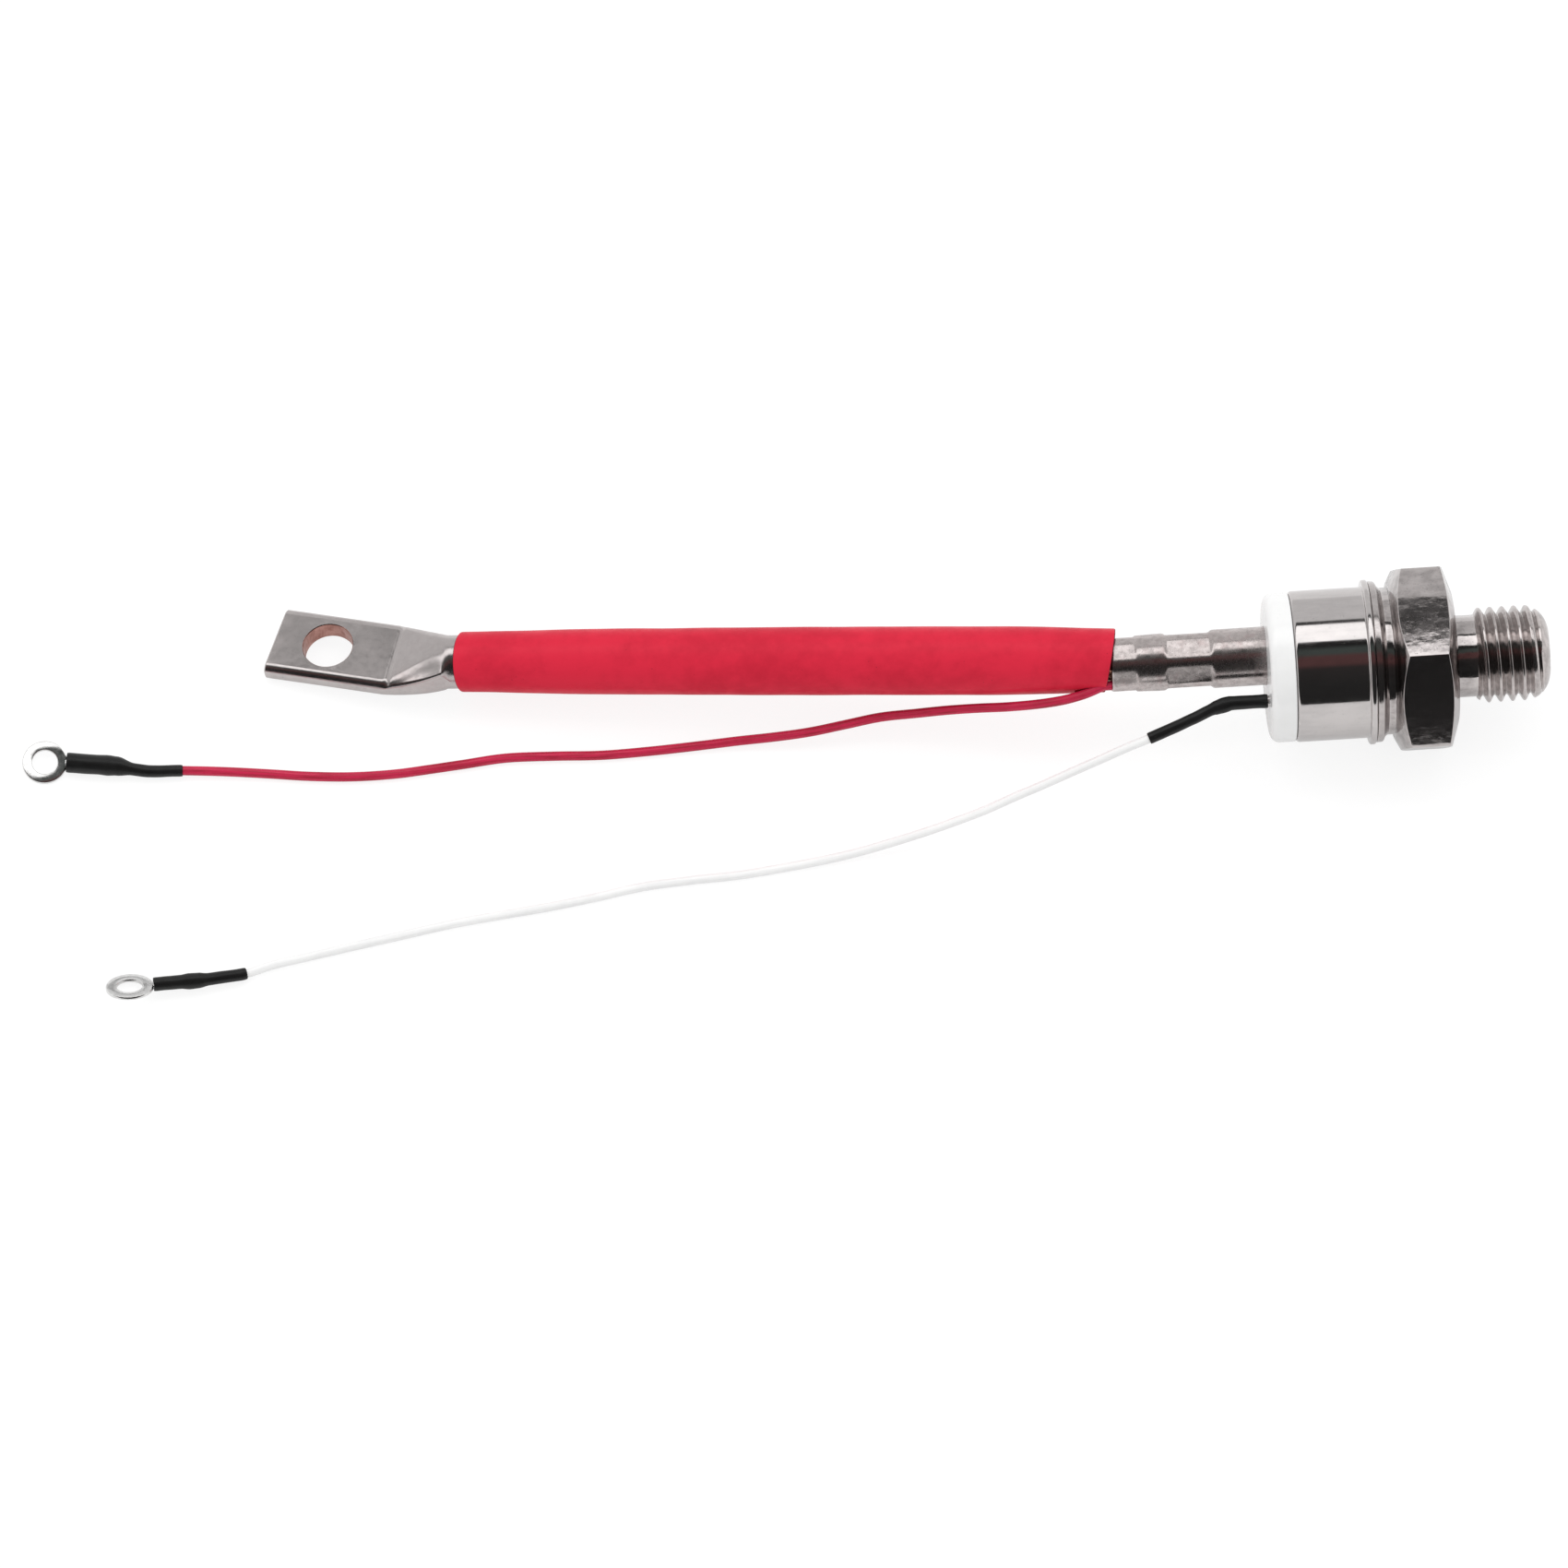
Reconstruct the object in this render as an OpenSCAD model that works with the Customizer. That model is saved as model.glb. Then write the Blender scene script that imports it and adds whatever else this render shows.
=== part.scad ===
// Stud-mounted thyristor with a flexible power lead and two thin signal wires.
// It lies as it comes to rest on a table, on one flat of its hexagon and the tip of its lug.
// Millimetres. +X runs along the stud to its tip, +Z is up and z = 0 is the table.

/* [Stud and hexagon] */
// Major diameter of the mounting thread
stud_d = 16; // [10:0.5:20]
// Length of the stud beyond the seat face
stud_len = 15.9; // [12:0.1:30]
// Rounding of the tip of the stud
stud_tip_round = 4.4; // [1:0.1:4.8]
// Diameter of the plain neck between thread and seat
undercut_d = 13.7; // [9:0.1:18]
// Length of the plain neck between thread and seat
undercut_len = 3.5; // [1:0.1:6]
// Distance across the flats of the hexagon
hex_af = 30; // [25:0.5:36]
// Height of the hexagon along the stud
hex_len = 10.7; // [8:0.1:16]
// How far the cone on the seat side of the hexagon cuts in below its flats
seat_cone = 3.8; // [0.5:0.1:4.4]
// Angle of that cone, measured from the seat face
seat_cone_angle = 18.5; // [10:0.5:35]
// How far the cone on the cap side of the hexagon cuts in below its flats
cap_cone = 1.9; // [0.5:0.1:2.5]
// Angle of that cone, measured from the end face
cap_cone_angle = 27; // [15:1:45]
// Diameter of the round neck above the hexagon
neck_d = 24.6; // [20:0.1:28]
// Length of that neck, up to the weld ring
neck_len = 1.2; // [0.5:0.1:4]

/* [Housing] */
// Diameter of the weld ring and of the can flange
flange_d = 27.6; // [27:0.1:34]
// Height of the weld ring
weld_ring_len = 2.0; // [1.2:0.1:4]
// Thickness of the can flange
flange_t = 1.1; // [0.6:0.1:2]
// Outer diameter of the can
can_d = 25.3; // [25:0.1:30]
// Length of the can with its flange
can_len = 13.4; // [13.2:0.1:20]
// Wall of the can
can_wall = 0.8; // [0.5:0.1:1.2]
// Diameter of the ceramic cap
ceramic_d = 25; // [24.6:0.1:30]
// Height of the ceramic cap above the can
ceramic_len = 4.2; // [3:0.1:8]
// Rounding of the outer rim of the ceramic
ceramic_round = 1.5; // [0.5:0.1:2]
// Depth of the ceramic spigot inside the can
spigot_len = 1.2; // [0.6:0.1:1.4]

/* [Terminals on the cap] */
// Outer diameter of the cathode tube
tube_d = 9.8; // [8.5:0.1:12.3]
// Length of the cathode tube beyond the ceramic
tube_len = 26; // [23:0.1:40]
// Distance of the cathode tube from the stud axis, away from the gate
tube_offset = 2.5; // [1:0.1:5]
// Distance across the flats of the two pressed crimps
crimp_af = 8.9; // [7.6:0.1:10]
// How far the crimping has drawn in the tube at its mouth, across its radius
crimp_draw = 0.2; // [0:0.05:0.4]
// Length of the crimp nearer the ceramic
crimp_near_len = 8.5; // [5:0.1:9]
// Length of the crimp at the mouth of the tube
crimp_mouth_len = 4.7; // [3:0.1:7]
// Round stretch between the two crimps
crimp_gap = 4.1; // [2:0.1:5]
// Distance of the gate pin from the stud axis
gate_offset = 6.4; // [5.5:0.1:8]
// Diameter of the gate pin
gate_pin_d = 1.8; // [1.2:0.1:2.4]
// Length of the gate pin beyond the ceramic
gate_pin_len = 5.2; // [4:0.1:8]

/* [Power lead] */
// Diameter of the stranded rope
rope_d = 6.0; // [4:0.1:7.2]
// Length of the lead from the crimp tube to the bend of the lug
lead_len = 111; // [80:1:160]
// Turn of the lead in plan, away from the stud axis
lead_yaw = 6.6; // [0:0.1:12]
// Sideways step of the lead at the mouth of the tube
lead_shift_y = 0.7; // [0:0.1:1]
// Upward step of the lead at the mouth of the tube
lead_shift_z = 0.45; // [0:0.05:1]
// Wall of the red sleeve
sleeve_wall = 0.45; // [0.3:0.05:0.8]
// Diameter of the sleeve where it is widest
sleeve_wide_d = 11.5; // [10:0.1:15]
// Slant of the cut mouth of the sleeve
mouth_slant = 9; // [0:1:12]
// Bare length of lug tube outside the sleeve
lug_bare_len = 2.4; // [0:0.1:4]
// Slant of the cut end of the sleeve at the lug
sleeve_slant = 12; // [0:1:25]

/* [Cable lug] */
// Outer diameter of the lug tube
lug_tube_d = 9.0; // [7.5:0.1:12]
// Bore of the lug tube and of the cathode tube
conductor_bore_d = 6.3; // [4.2:0.1:7.6]
// Length of the round lug tube
lug_tube_len = 18; // [12:0.5:26]
// Length over which the tube is pressed flat
flattening_len = 9.6; // [7:0.1:14]
// Length of the flat tongue along its near side
tongue_len = 20.6; // [16:0.1:30]
// Width of the flat tongue
tongue_w = 13.0; // [11.5:0.1:18]
// Thickness of the flat tongue
tongue_t = 3.6; // [2.4:0.1:4.5]
// Rounding along the long sides of the tongue
tongue_round = 1.1; // [0.2:0.1:1.1]
// Slant of the cut end of the tongue, which leaves its far side shorter
tongue_tip_slant = 4; // [0:0.5:8]
// Diameter of the bolt hole
lug_hole_d = 8.4; // [5:0.1:9.2]
// Distance from the tip of the tongue to the middle of the hole
lug_hole_from_tip = 9.7; // [7:0.1:12]
// Turn of the tongue in plan, away from the stud axis
tongue_yaw = 18; // [0:0.5:30]
// Sideways step of the tongue, towards the signal wires
tongue_step = 0.2; // [0:0.1:1]
// Fall of the tongue towards its tip
tongue_pitch = 7; // [0:0.5:12]
// Rise of the underside from the tongue to the tube
heel_rise = 0.2; // [0:0.1:3]

/* [Signal wires] */
// Diameter of the white gate wire
gate_wire_d = 1.5; // [1:0.1:2]
// Diameter of the red auxiliary wire
aux_wire_d = 1.6; // [1:0.1:2]
// Outer diameter of the shrink tube on the gate pin
pin_shrink_d = 2.5; // [2.2:0.1:4]
// Outer diameter of all shrink tubes where they cover a wire
wire_shrink_d = 2.2; // [2:0.1:4]
// Diameter of the barrel of the gate terminal
gate_barrel_d = 1.8; // [1.4:0.1:3]
// Diameter of the barrel of the auxiliary terminal
aux_barrel_d = 2.7; // [2:0.1:4]
// Diameter of the gate ring
gate_ring_d = 8.0; // [6:0.1:10]
// Diameter of the auxiliary ring
aux_ring_d = 7.5; // [6:0.1:10]
// Diameter of the stud hole in both rings
ring_hole_d = 4.3; // [3.2:0.1:5.3]
// Thickness of both rings
ring_t = 0.6; // [0.5:0.1:1.2]

/* [Junction stack] */
// Diameter of the silicon wafer
wafer_d = 16; // [12:0.1:16.4]
// Thickness of the silicon wafer
wafer_t = 0.5; // [0.3:0.1:1]
// Thickness of the anode disc below the wafer
anode_disc_t = 1.2; // [0.8:0.1:1.6]
// Thickness of the cathode disc above the wafer
cathode_disc_t = 0.8; // [0.5:0.1:1.2]
// Diameter of the cathode post
post_d = 8.8; // [7:0.1:9]
// Thickness of the foot of the cathode post
post_foot_t = 1.8; // [1:0.1:2.2]
// Thickness of the pressure washer
pressure_washer_t = 1.0; // [0.6:0.1:1.2]
// Thickness of one disc spring
disc_spring_t = 0.5; // [0.3:0.05:0.6]
// Cone height of one disc spring
disc_spring_rise = 0.3; // [0.1:0.05:0.4]
// Wall of the clamp cup
clamp_wall = 1.0; // [0.6:0.1:1.1]

/* [Clearances] */
// Gap in brazed and pressed seats
seat_gap = 0.05; // [0.02:0.01:0.1]
// Gap between sleeves and what they cover
sleeve_gap = 0.08; // [0.03:0.01:0.15]
// Gap between the end of the red sleeve and the crimp tube
mouth_gap = 0.25; // [0.1:0.05:1]
// Slack of the mouth of the sleeve around the end of the crimp tube
mouth_slack = 0.15; // [0.1:0.05:0.8]
// Slack of the sleeve around the mouth of the lug tube, before it closes on it
tail_slack = 0.6; // [0.2:0.05:1]

/* [Hidden] */
$fn = 96;

// Heights along the stud axis, measured from the seat face towards the cap
axis_z = hex_af / 2;
weld_base_h = hex_len + neck_len;
can_base_h = weld_base_h + weld_ring_len;
can_top_h = can_base_h + can_len;
cap_top_h = can_top_h + ceramic_len;
tube_end_h = cap_top_h + tube_len;
gate_pin_end_h = cap_top_h + gate_pin_len;
spigot_h = can_top_h - spigot_len;
tube_root_h = spigot_h + 0.4;
crimp_mouth_h = tube_end_h - crimp_mouth_len;
crimp_near_h = crimp_mouth_h - crimp_gap - crimp_near_len;

// Radii inside the housing
spigot_r = can_d / 2 - can_wall - 0.95;
lip_r = spigot_r + seat_gap;
base_spigot_r = can_d / 2 - can_wall - 0.5;
clamp_outer_r = base_spigot_r - 0.7;
clamp_inner_r = clamp_outer_r - clamp_wall;
pedestal_r = clamp_inner_r - 1.0;
spring_outer_r = clamp_inner_r - 0.9;
bush_inner_r = post_d / 2 + seat_gap;
bush_outer_r = bush_inner_r + 0.45;
spring_inner_r = bush_outer_r + 0.1;

// Heights of the junction stack, from the floor of the base upwards
floor_h = weld_base_h + 0.5;
clamp_groove_depth = 0.4;
pedestal_h = floor_h + 0.8;
wafer_h = pedestal_h + anode_disc_t;
cathode_disc_h = wafer_h + wafer_t;
post_h = cathode_disc_h + cathode_disc_t;
bush_h = post_h + post_foot_t;
bush_flange_t = 0.4;
washer_h = bush_h + bush_flange_t;
spring_h = washer_h + pressure_washer_t;
spring_step = disc_spring_t + disc_spring_rise;
clamp_lip_h = spring_h + 3 * spring_step;
clamp_lip_t = 0.9;
clamp_top_h = clamp_lip_h + clamp_lip_t;
gate_slot_h = clamp_top_h + 0.3;
gate_slot_len = 1.0;
post_top_h = gate_slot_h + gate_slot_len + 0.4;

// Gate assembly inside the cathode post
gate_bore_r = 1.8;
gate_bush_r = gate_bore_r - seat_gap;
gate_bush_bore_r = 1.2;
gate_passage_r = 0.6;
gate_bush_top_h = gate_slot_h - 1.0;
gate_contact_r = gate_bush_bore_r - 0.1;
gate_contact_len = 2.2;
gate_lead_r = 0.25;
gate_spring_wire_r = 0.15;
gate_spring_turns = 5;

// Course of the power lead
lead_start = [-tube_end_h - mouth_gap, tube_offset + lead_shift_y, axis_z + lead_shift_z];
tip_slope = tan(tongue_tip_slant);
fold_z = (tongue_len - tongue_round * tip_slope) * sin(tongue_pitch);
lug_axis_z = fold_z + heel_rise + lug_tube_d / 2;
lead_pitch = asin((lead_start.z - lug_axis_z) / lead_len);
lead_dir = heading(lead_yaw, lead_pitch);
lead_side = [sin(lead_yaw), cos(lead_yaw), 0];
lead_up = cross(lead_side, lead_dir);
lead_finish = lead_start + lead_len * lead_dir;
sleeve_len = lead_len - lug_bare_len;
sleeve_rope_len = sleeve_len - lug_tube_len;
sleeve_mouth_d = tube_d - 2 * crimp_draw + 2 * (mouth_slack + sleeve_wall);
sleeve_tail_d = lug_tube_d + 2 * (tail_slack + sleeve_wall);
sleeve_lug_d = lug_tube_d + 2 * (sleeve_gap + sleeve_wall);
sleeve_profile = [
    [0, sleeve_mouth_d / 2], [8, lerp(sleeve_mouth_d, sleeve_wide_d, 0.7) / 2],
    [16, sleeve_wide_d / 2], [0.53 * sleeve_rope_len, sleeve_wide_d / 2],
    [0.88 * sleeve_rope_len, sleeve_tail_d / 2],
    [sleeve_rope_len, lerp(sleeve_lug_d, sleeve_tail_d, 0.8) / 2],
    [sleeve_rope_len + 0.55 * lug_tube_len, lerp(sleeve_lug_d, sleeve_tail_d, 0.3) / 2],
    [sleeve_len, sleeve_lug_d / 2]
];
rope_blend = 14;
mouth_long_side = 60;
lug_long_side = -31;

// Course of the tongue. fold_point is the middle of its underside where the flattening ends
tongue_dir = heading(tongue_yaw, tongue_pitch);
tongue_side = [sin(tongue_yaw), cos(tongue_yaw), 0];
tongue_up = cross(tongue_side, tongue_dir);
fold_x = lead_finish.x - flattening_len * cos(tongue_yaw);
fold_y = lead_finish.y + flattening_len * sin(tongue_yaw) - tongue_step;
fold_point = [fold_x, fold_y, fold_z];
tongue_tip = fold_point + tongue_len * tongue_dir;

// The rigid parts are centred over the origin. The slanted end of the tongue sets the far
// x and y, and the stud tip and the hexagon corner set the near ones
tip_middle = tongue_tip - tongue_w / 2 * tip_slope * tongue_dir;
tip_side = tongue_side - tip_slope * tongue_dir;
tip_lean = tongue_t - tongue_round;
tip_half = tongue_w / 2 - tongue_round;
reach_x = tip_lean * -tongue_up.x + tip_half * tip_side.x
    + tongue_round * norm([tongue_up.x, tip_side.x]);
reach_y = tip_lean * tongue_up.y + tip_half * tip_side.y
    + tongue_round * norm([tongue_up.y, tip_side.y]);
centre_x = (stud_len + tip_middle.x - reach_x) / 2;
centre_y = (tip_middle.y + reach_y - axis_z / cos(30)) / 2;

// Ring terminals: mouth of the barrel, turn in plan, rise and roll about the barrel
gate_mouth = [-213.5, -40, 2];
gate_terminal_yaw = -3;
gate_terminal_pitch = -2;
gate_terminal_roll = -30;
gate_barrel_len = 5.6;
gate_ring_reach = 10.8;
gate_ring_drop = 0.1;
aux_mouth = [-225.5, 3, 1.8];
aux_terminal_yaw = 9;
aux_terminal_pitch = 0;
aux_terminal_roll = 11;
aux_barrel_len = 6.4;
aux_ring_reach = 10.8;
aux_ring_drop = 0.75;

gate_terminal_dir = heading(gate_terminal_yaw, gate_terminal_pitch);
aux_terminal_dir = heading(aux_terminal_yaw, aux_terminal_pitch);

// Routes of the two wires, from the housing to their terminals. z is above the table
gate_start = [-gate_pin_end_h, -gate_offset, axis_z];
aux_start = [-tube_end_h, -1.5, axis_z];
gate_route = [
    [-41, -7.1, 14.7], [-44, -8.3, 14.2], [-48, -9.6, 13.4], [-52, -10.8, 12.5],
    [-56, -11.9, 11.7], [-60, -13, 10.6], [-65, -14.3, 9.2], [-70, -15.6, 7.7],
    [-75, -16.9, 6.4], [-80, -18.3, 5.1], [-85, -19.4, 3.9], [-90, -20.5, 3],
    [-96, -21.7, 2.1], [-102, -22.8, 1.4], [-108, -23.7, 1], [-115, -24.6, 0.8],
    [-122, -25.4, 0.8], [-130, -25.8, 0.8], [-138, -26.5, 0.8], [-146, -28, 0.8],
    [-154, -29.3, 0.8], [-162, -30.3, 0.8], [-170, -31.4, 0.8], [-178, -32.9, 0.8],
    [-186, -34.4, 0.8], [-194, -36, 0.9], [-200, -37.3, 1.1], [-204.8, -38.8, 1.3],
    [-209, -39.5, 1.7]
];
aux_route = [
    [-61, -2.2, 14.6], [-63, -2.6, 14.1],
    [-66, -2.8, 13.3], [-70, -2.5, 12.1], [-75, -1.8, 10.7], [-80, -0.9, 9.4],
    [-85, -0.2, 8.2], [-90, 0.3, 7], [-96, 0.9, 5.5], [-102, 0.6, 4.3],
    [-108, 0.3, 3.1], [-114, 0.3, 2.2], [-120, 0.4, 1.5], [-127, 0.2, 1],
    [-135, -0.2, 0.9], [-143, -0.4, 0.9], [-151, 0, 0.9], [-159, 0.2, 0.9],
    [-166, -0.5, 0.9], [-172, -1.1, 0.9], [-178, -1.6, 0.9], [-185, -1.6, 0.9],
    [-192, -1, 0.9], [-199, 0, 0.9], [-206, 0.8, 1.1], [-213.2, 1.4, 1.3],
    [-219, 1.6, 1.5]
];
wire_steps = 2;
straight_len = 1.4;
wire_sides = 8;
shrink_sides = 12;
pin_shrink_points = 9;
gate_shrink_points = 5;
aux_shrink_points = 5;
aux_notch_len = 4.6;
aux_notch_z = aux_start.z - 0.15;

// Unit direction that leaves the housing, turned in plan by yaw and falling by pitch
function heading(yaw, pitch) = [-cos(pitch) * cos(yaw), cos(pitch) * sin(yaw), -sin(pitch)];

function unit(v) = v / norm(v);

function lerp(a, b, t) = a + (b - a) * t;

function ease(t) = t * t * (3 - 2 * t);

// Point at t between b and c on the smooth curve through a, b, c and d
function curve_point(a, b, c, d, t) =
    0.5 * (2 * b + (c - a) * t + (2 * a - 5 * b + 4 * c - d) * t * t
        + (3 * b - a - 3 * c + d) * t * t * t);

// Smooth route through hand-set points, with some steps to each stretch
function smooth_route(p, steps) = let (last = len(p) - 1) concat(
    [for (i = [0 : last - 1]) for (k = [0 : steps - 1])
        curve_point(p[max(i - 1, 0)], p[i], p[i + 1], p[min(i + 2, last)], k / steps)],
    [p[last]]);

// Point on the curve that leaves a along da and arrives at b along db
function joining_point(a, da, b, db, t) =
    (2 * t * t * t - 3 * t * t + 1) * a + (t * t * t - 2 * t * t + t) * da
    + (3 * t * t - 2 * t * t * t) * b + (t * t * t - t * t) * db;

// Circle of points about each point of a path
function circle_about(centre, direction, r, sides) =
    let (side = unit(cross(direction, [0, 0, 1])), up = cross(side, direction))
    [for (k = [0 : sides - 1])
        centre + r * cos(360 * k / sides) * side + r * sin(360 * k / sides) * up];

function path_heading(p, i) = unit(p[min(i + 1, len(p) - 1)] - p[max(i - 1, 0)]);

function tube_points(p, radii, sides) =
    [for (i = [0 : len(p) - 1]) each circle_about(p[i], path_heading(p, i), radii[i], sides)];

// Wall triangles between neighbouring rings of points, wound one way or the other
function wall_faces(rings, sides, first, inward) =
    [for (i = [0 : rings - 2]) for (k = [0 : sides - 1])
        let (a = first + i * sides + k, b = first + i * sides + (k + 1) % sides)
        each inward
            ? [[a, b + sides, b], [a, a + sides, b + sides]]
            : [[a, b, b + sides], [a, b + sides, a + sides]]];

// Ring-shaped end faces of a hollow sweep
function end_faces(outer, inner, sides, inward) =
    [for (k = [0 : sides - 1])
        let (j = (k + 1) % sides)
        each inward
            ? [[outer + k, outer + j, inner + j], [outer + k, inner + j, inner + k]]
            : [[outer + k, inner + k, inner + j], [outer + k, inner + j, outer + j]]];

// Corner-rounded rectangle as a list of points, with the same count on each corner
function rounded_outline(w, t, r, per_corner) =
    [for (q = [0 : 3]) for (i = [0 : per_corner - 1])
        let (a = 90 * q + 90 * i / (per_corner - 1),
            sx = (q == 0 || q == 3) ? 1 : -1,
            sy = (q < 2) ? 1 : -1)
        [sx * (w / 2 - r) + r * cos(a), sy * (t / 2 - r) + r * sin(a)]];

// Circle with its points spread like those of rounded_outline
function matching_circle(r, per_corner) =
    [for (q = [0 : 3]) for (i = [0 : per_corner - 1])
        let (a = 90 * q + 90 * (i + 0.5) / per_corner) [r * cos(a), r * sin(a)]];

// Quarter round between two directions, as points of an outline
function arc_points(centre, r, from, to, steps) =
    [for (i = [0 : steps])
        let (a = lerp(from, to, i / steps)) centre + r * [cos(a), sin(a)]];

// Course of a wire, straight where it leaves the housing and where it meets its terminal
function wire_path(start, route, mouth, mouth_dir) = concat(
    [start],
    smooth_route(concat([start - [straight_len, 0, 0]], route, [mouth - straight_len * mouth_dir]),
        wire_steps),
    [mouth]);

gate_path = wire_path(gate_start, gate_route, gate_mouth, gate_terminal_dir);
aux_path = wire_path(aux_start, aux_route, aux_mouth, aux_terminal_dir);

// Centres the rigid parts over the origin
module at_home() {
    translate([-centre_x, -centre_y, 0]) children();
}

// Local +Z runs from the seat face towards the cap
module along_stud() {
    at_home() translate([0, 0, axis_z]) rotate([0, -90, 0]) children();
}

// Local +Z runs from the mouth of the sleeve towards the lug
module along_lead() {
    at_home() translate(lead_start) rotate([0, 0, -lead_yaw]) rotate([0, -lead_pitch, 0])
        rotate([0, -90, 0]) children();
}

// Local -X runs along the tongue, and its underside is at z = 0
module along_tongue() {
    at_home() translate(fold_point) rotate([0, 0, -tongue_yaw])
        rotate([0, -tongue_pitch, 0]) children();
}

// Solid of round section that follows a path
module sweep(path, radii, sides) {
    rings = len(path);
    polyhedron(
        points = tube_points(path, radii, sides),
        faces = concat(
            [[for (k = [sides - 1 : -1 : 0]) k]],
            [[for (k = [0 : sides - 1]) (rings - 1) * sides + k]],
            wall_faces(rings, sides, 0, false)),
        convexity = 6);
}

// Hollow sleeve of round section that follows a path
module hollow_sweep(path, outer, inner, sides) {
    rings = len(path);
    count = rings * sides;
    polyhedron(
        points = concat(tube_points(path, outer, sides), tube_points(path, inner, sides)),
        faces = concat(
            wall_faces(rings, sides, 0, false),
            wall_faces(rings, sides, count, true),
            end_faces(0, count, sides, false),
            end_faces(count - sides, 2 * count - sides, sides, true)),
        convexity = 6);
}

// Flat ring about the local Z axis
module washer(outer_r, inner_r, t) {
    difference() {
        cylinder(r = outer_r, h = t);
        translate([0, 0, -1]) cylinder(r = inner_r, h = t + 2);
    }
}

// Round bar with a cone at each end. Each cone meets its end face at a radius and an angle
module coned_bar(r, length, low_r, low_angle, high_r, high_angle) {
    rotate_extrude() polygon([
        [0, 0], [low_r, 0], [r, (r - low_r) * tan(low_angle)],
        [r, length - (r - high_r) * tan(high_angle)], [high_r, length], [0, length]
    ]);
}

// Copper base turned in one piece: stud, hexagon, neck, floor and pedestal
module stud_base() {
    hex_r = hex_af / 2 / cos(30);
    color("silver") along_stud() {
        intersection() {
            rotate(30) cylinder(r = hex_r, h = hex_len, $fn = 6);
            coned_bar(hex_r + 1, hex_len, hex_af / 2 - seat_cone, seat_cone_angle,
                hex_af / 2 - cap_cone, cap_cone_angle);
        }
        rotate_extrude() polygon(concat(
            [[0, -stud_len]],
            arc_points([stud_d / 2 - stud_tip_round, stud_tip_round - stud_len],
                stud_tip_round, -90, 0, 8),
            [[stud_d / 2, -undercut_len], [undercut_d / 2, -undercut_len],
                [undercut_d / 2, 0.5], [0, 0.5]]
        ));
        difference() {
            rotate_extrude() polygon([
                [0, hex_len - 0.5],
                [neck_d / 2, hex_len - 0.5],
                [neck_d / 2, weld_base_h],
                [base_spigot_r, weld_base_h],
                [base_spigot_r, floor_h],
                [pedestal_r, floor_h],
                [pedestal_r, pedestal_h],
                [0, pedestal_h]
            ]);
            translate([0, 0, floor_h - clamp_groove_depth])
                washer(clamp_outer_r + seat_gap, clamp_inner_r - seat_gap, 2);
        }
    }
}

// Steel ring brazed round the spigot of the base, to which the can is welded
module weld_ring() {
    bead_r = flange_d / 2 - 0.3;
    inner_r = base_spigot_r + seat_gap;
    color("lightsteelblue") along_stud() translate([0, 0, weld_base_h])
        rotate_extrude() polygon([
            [inner_r, 0], [neck_d / 2, 0], [bead_r - 0.5, weld_ring_len * 0.55],
            [bead_r, weld_ring_len * 0.75], [bead_r - 0.15, weld_ring_len], [inner_r, weld_ring_len]
        ]);
}

// Drawn steel can with a welded flange and an inward lip under the ceramic
module can_shell() {
    outer_r = can_d / 2;
    inner_r = outer_r - can_wall;
    flange_r = flange_d / 2;
    color("gainsboro") along_stud() translate([0, 0, can_base_h]) rotate_extrude()
        polygon(concat(
            [[inner_r, 0]],
            arc_points([flange_r - 0.35, 0.35], 0.35, -90, 0, 3),
            arc_points([flange_r - 0.35, flange_t - 0.35], 0.35, 0, 90, 3),
            [[outer_r + 0.3, flange_t], [outer_r, flange_t + 0.3]],
            arc_points([outer_r - 0.7, can_len - 0.7], 0.7, 0, 90, 5),
            [[lip_r, can_len], [lip_r, can_len - can_wall], [inner_r, can_len - can_wall]]
        ));
}

// Glazed ceramic cap with a spigot, a cathode hole and a gate hole
module ceramic_cap() {
    outer_r = ceramic_d / 2;
    color("white") along_stud() difference() {
        rotate_extrude() polygon(concat(
            [[0, spigot_h], [spigot_r, spigot_h], [spigot_r, can_top_h],
                [outer_r - 0.2, can_top_h], [outer_r, can_top_h + 0.25]],
            arc_points([outer_r - ceramic_round, cap_top_h - ceramic_round],
                ceramic_round, 0, 90, 8),
            [[0, cap_top_h]]
        ));
        translate([0, tube_offset, spigot_h - 1])
            cylinder(r = tube_d / 2 + seat_gap, h = cap_top_h);
        translate([0, -gate_offset, spigot_h - 1])
            cylinder(r = gate_pin_d / 2 + seat_gap, h = cap_top_h);
    }
}

// Six pressed flats with sloping ends, cut into a round tube about the local Z axis
module crimp_cuts(across_flats, tube_r, low, high) {
    ramp = 0.6;
    flat_x = across_flats / 2 - tube_r;
    for (k = [0 : 5]) rotate(60 * k) translate([tube_r, 0, 0]) rotate([90, 0, 0])
        linear_extrude(height = 2 * tube_r, center = true) polygon([
            [flat_x, low + ramp], [flat_x, high - ramp], [1, high + 1], [1, low - 1]
        ]);
}

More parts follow.
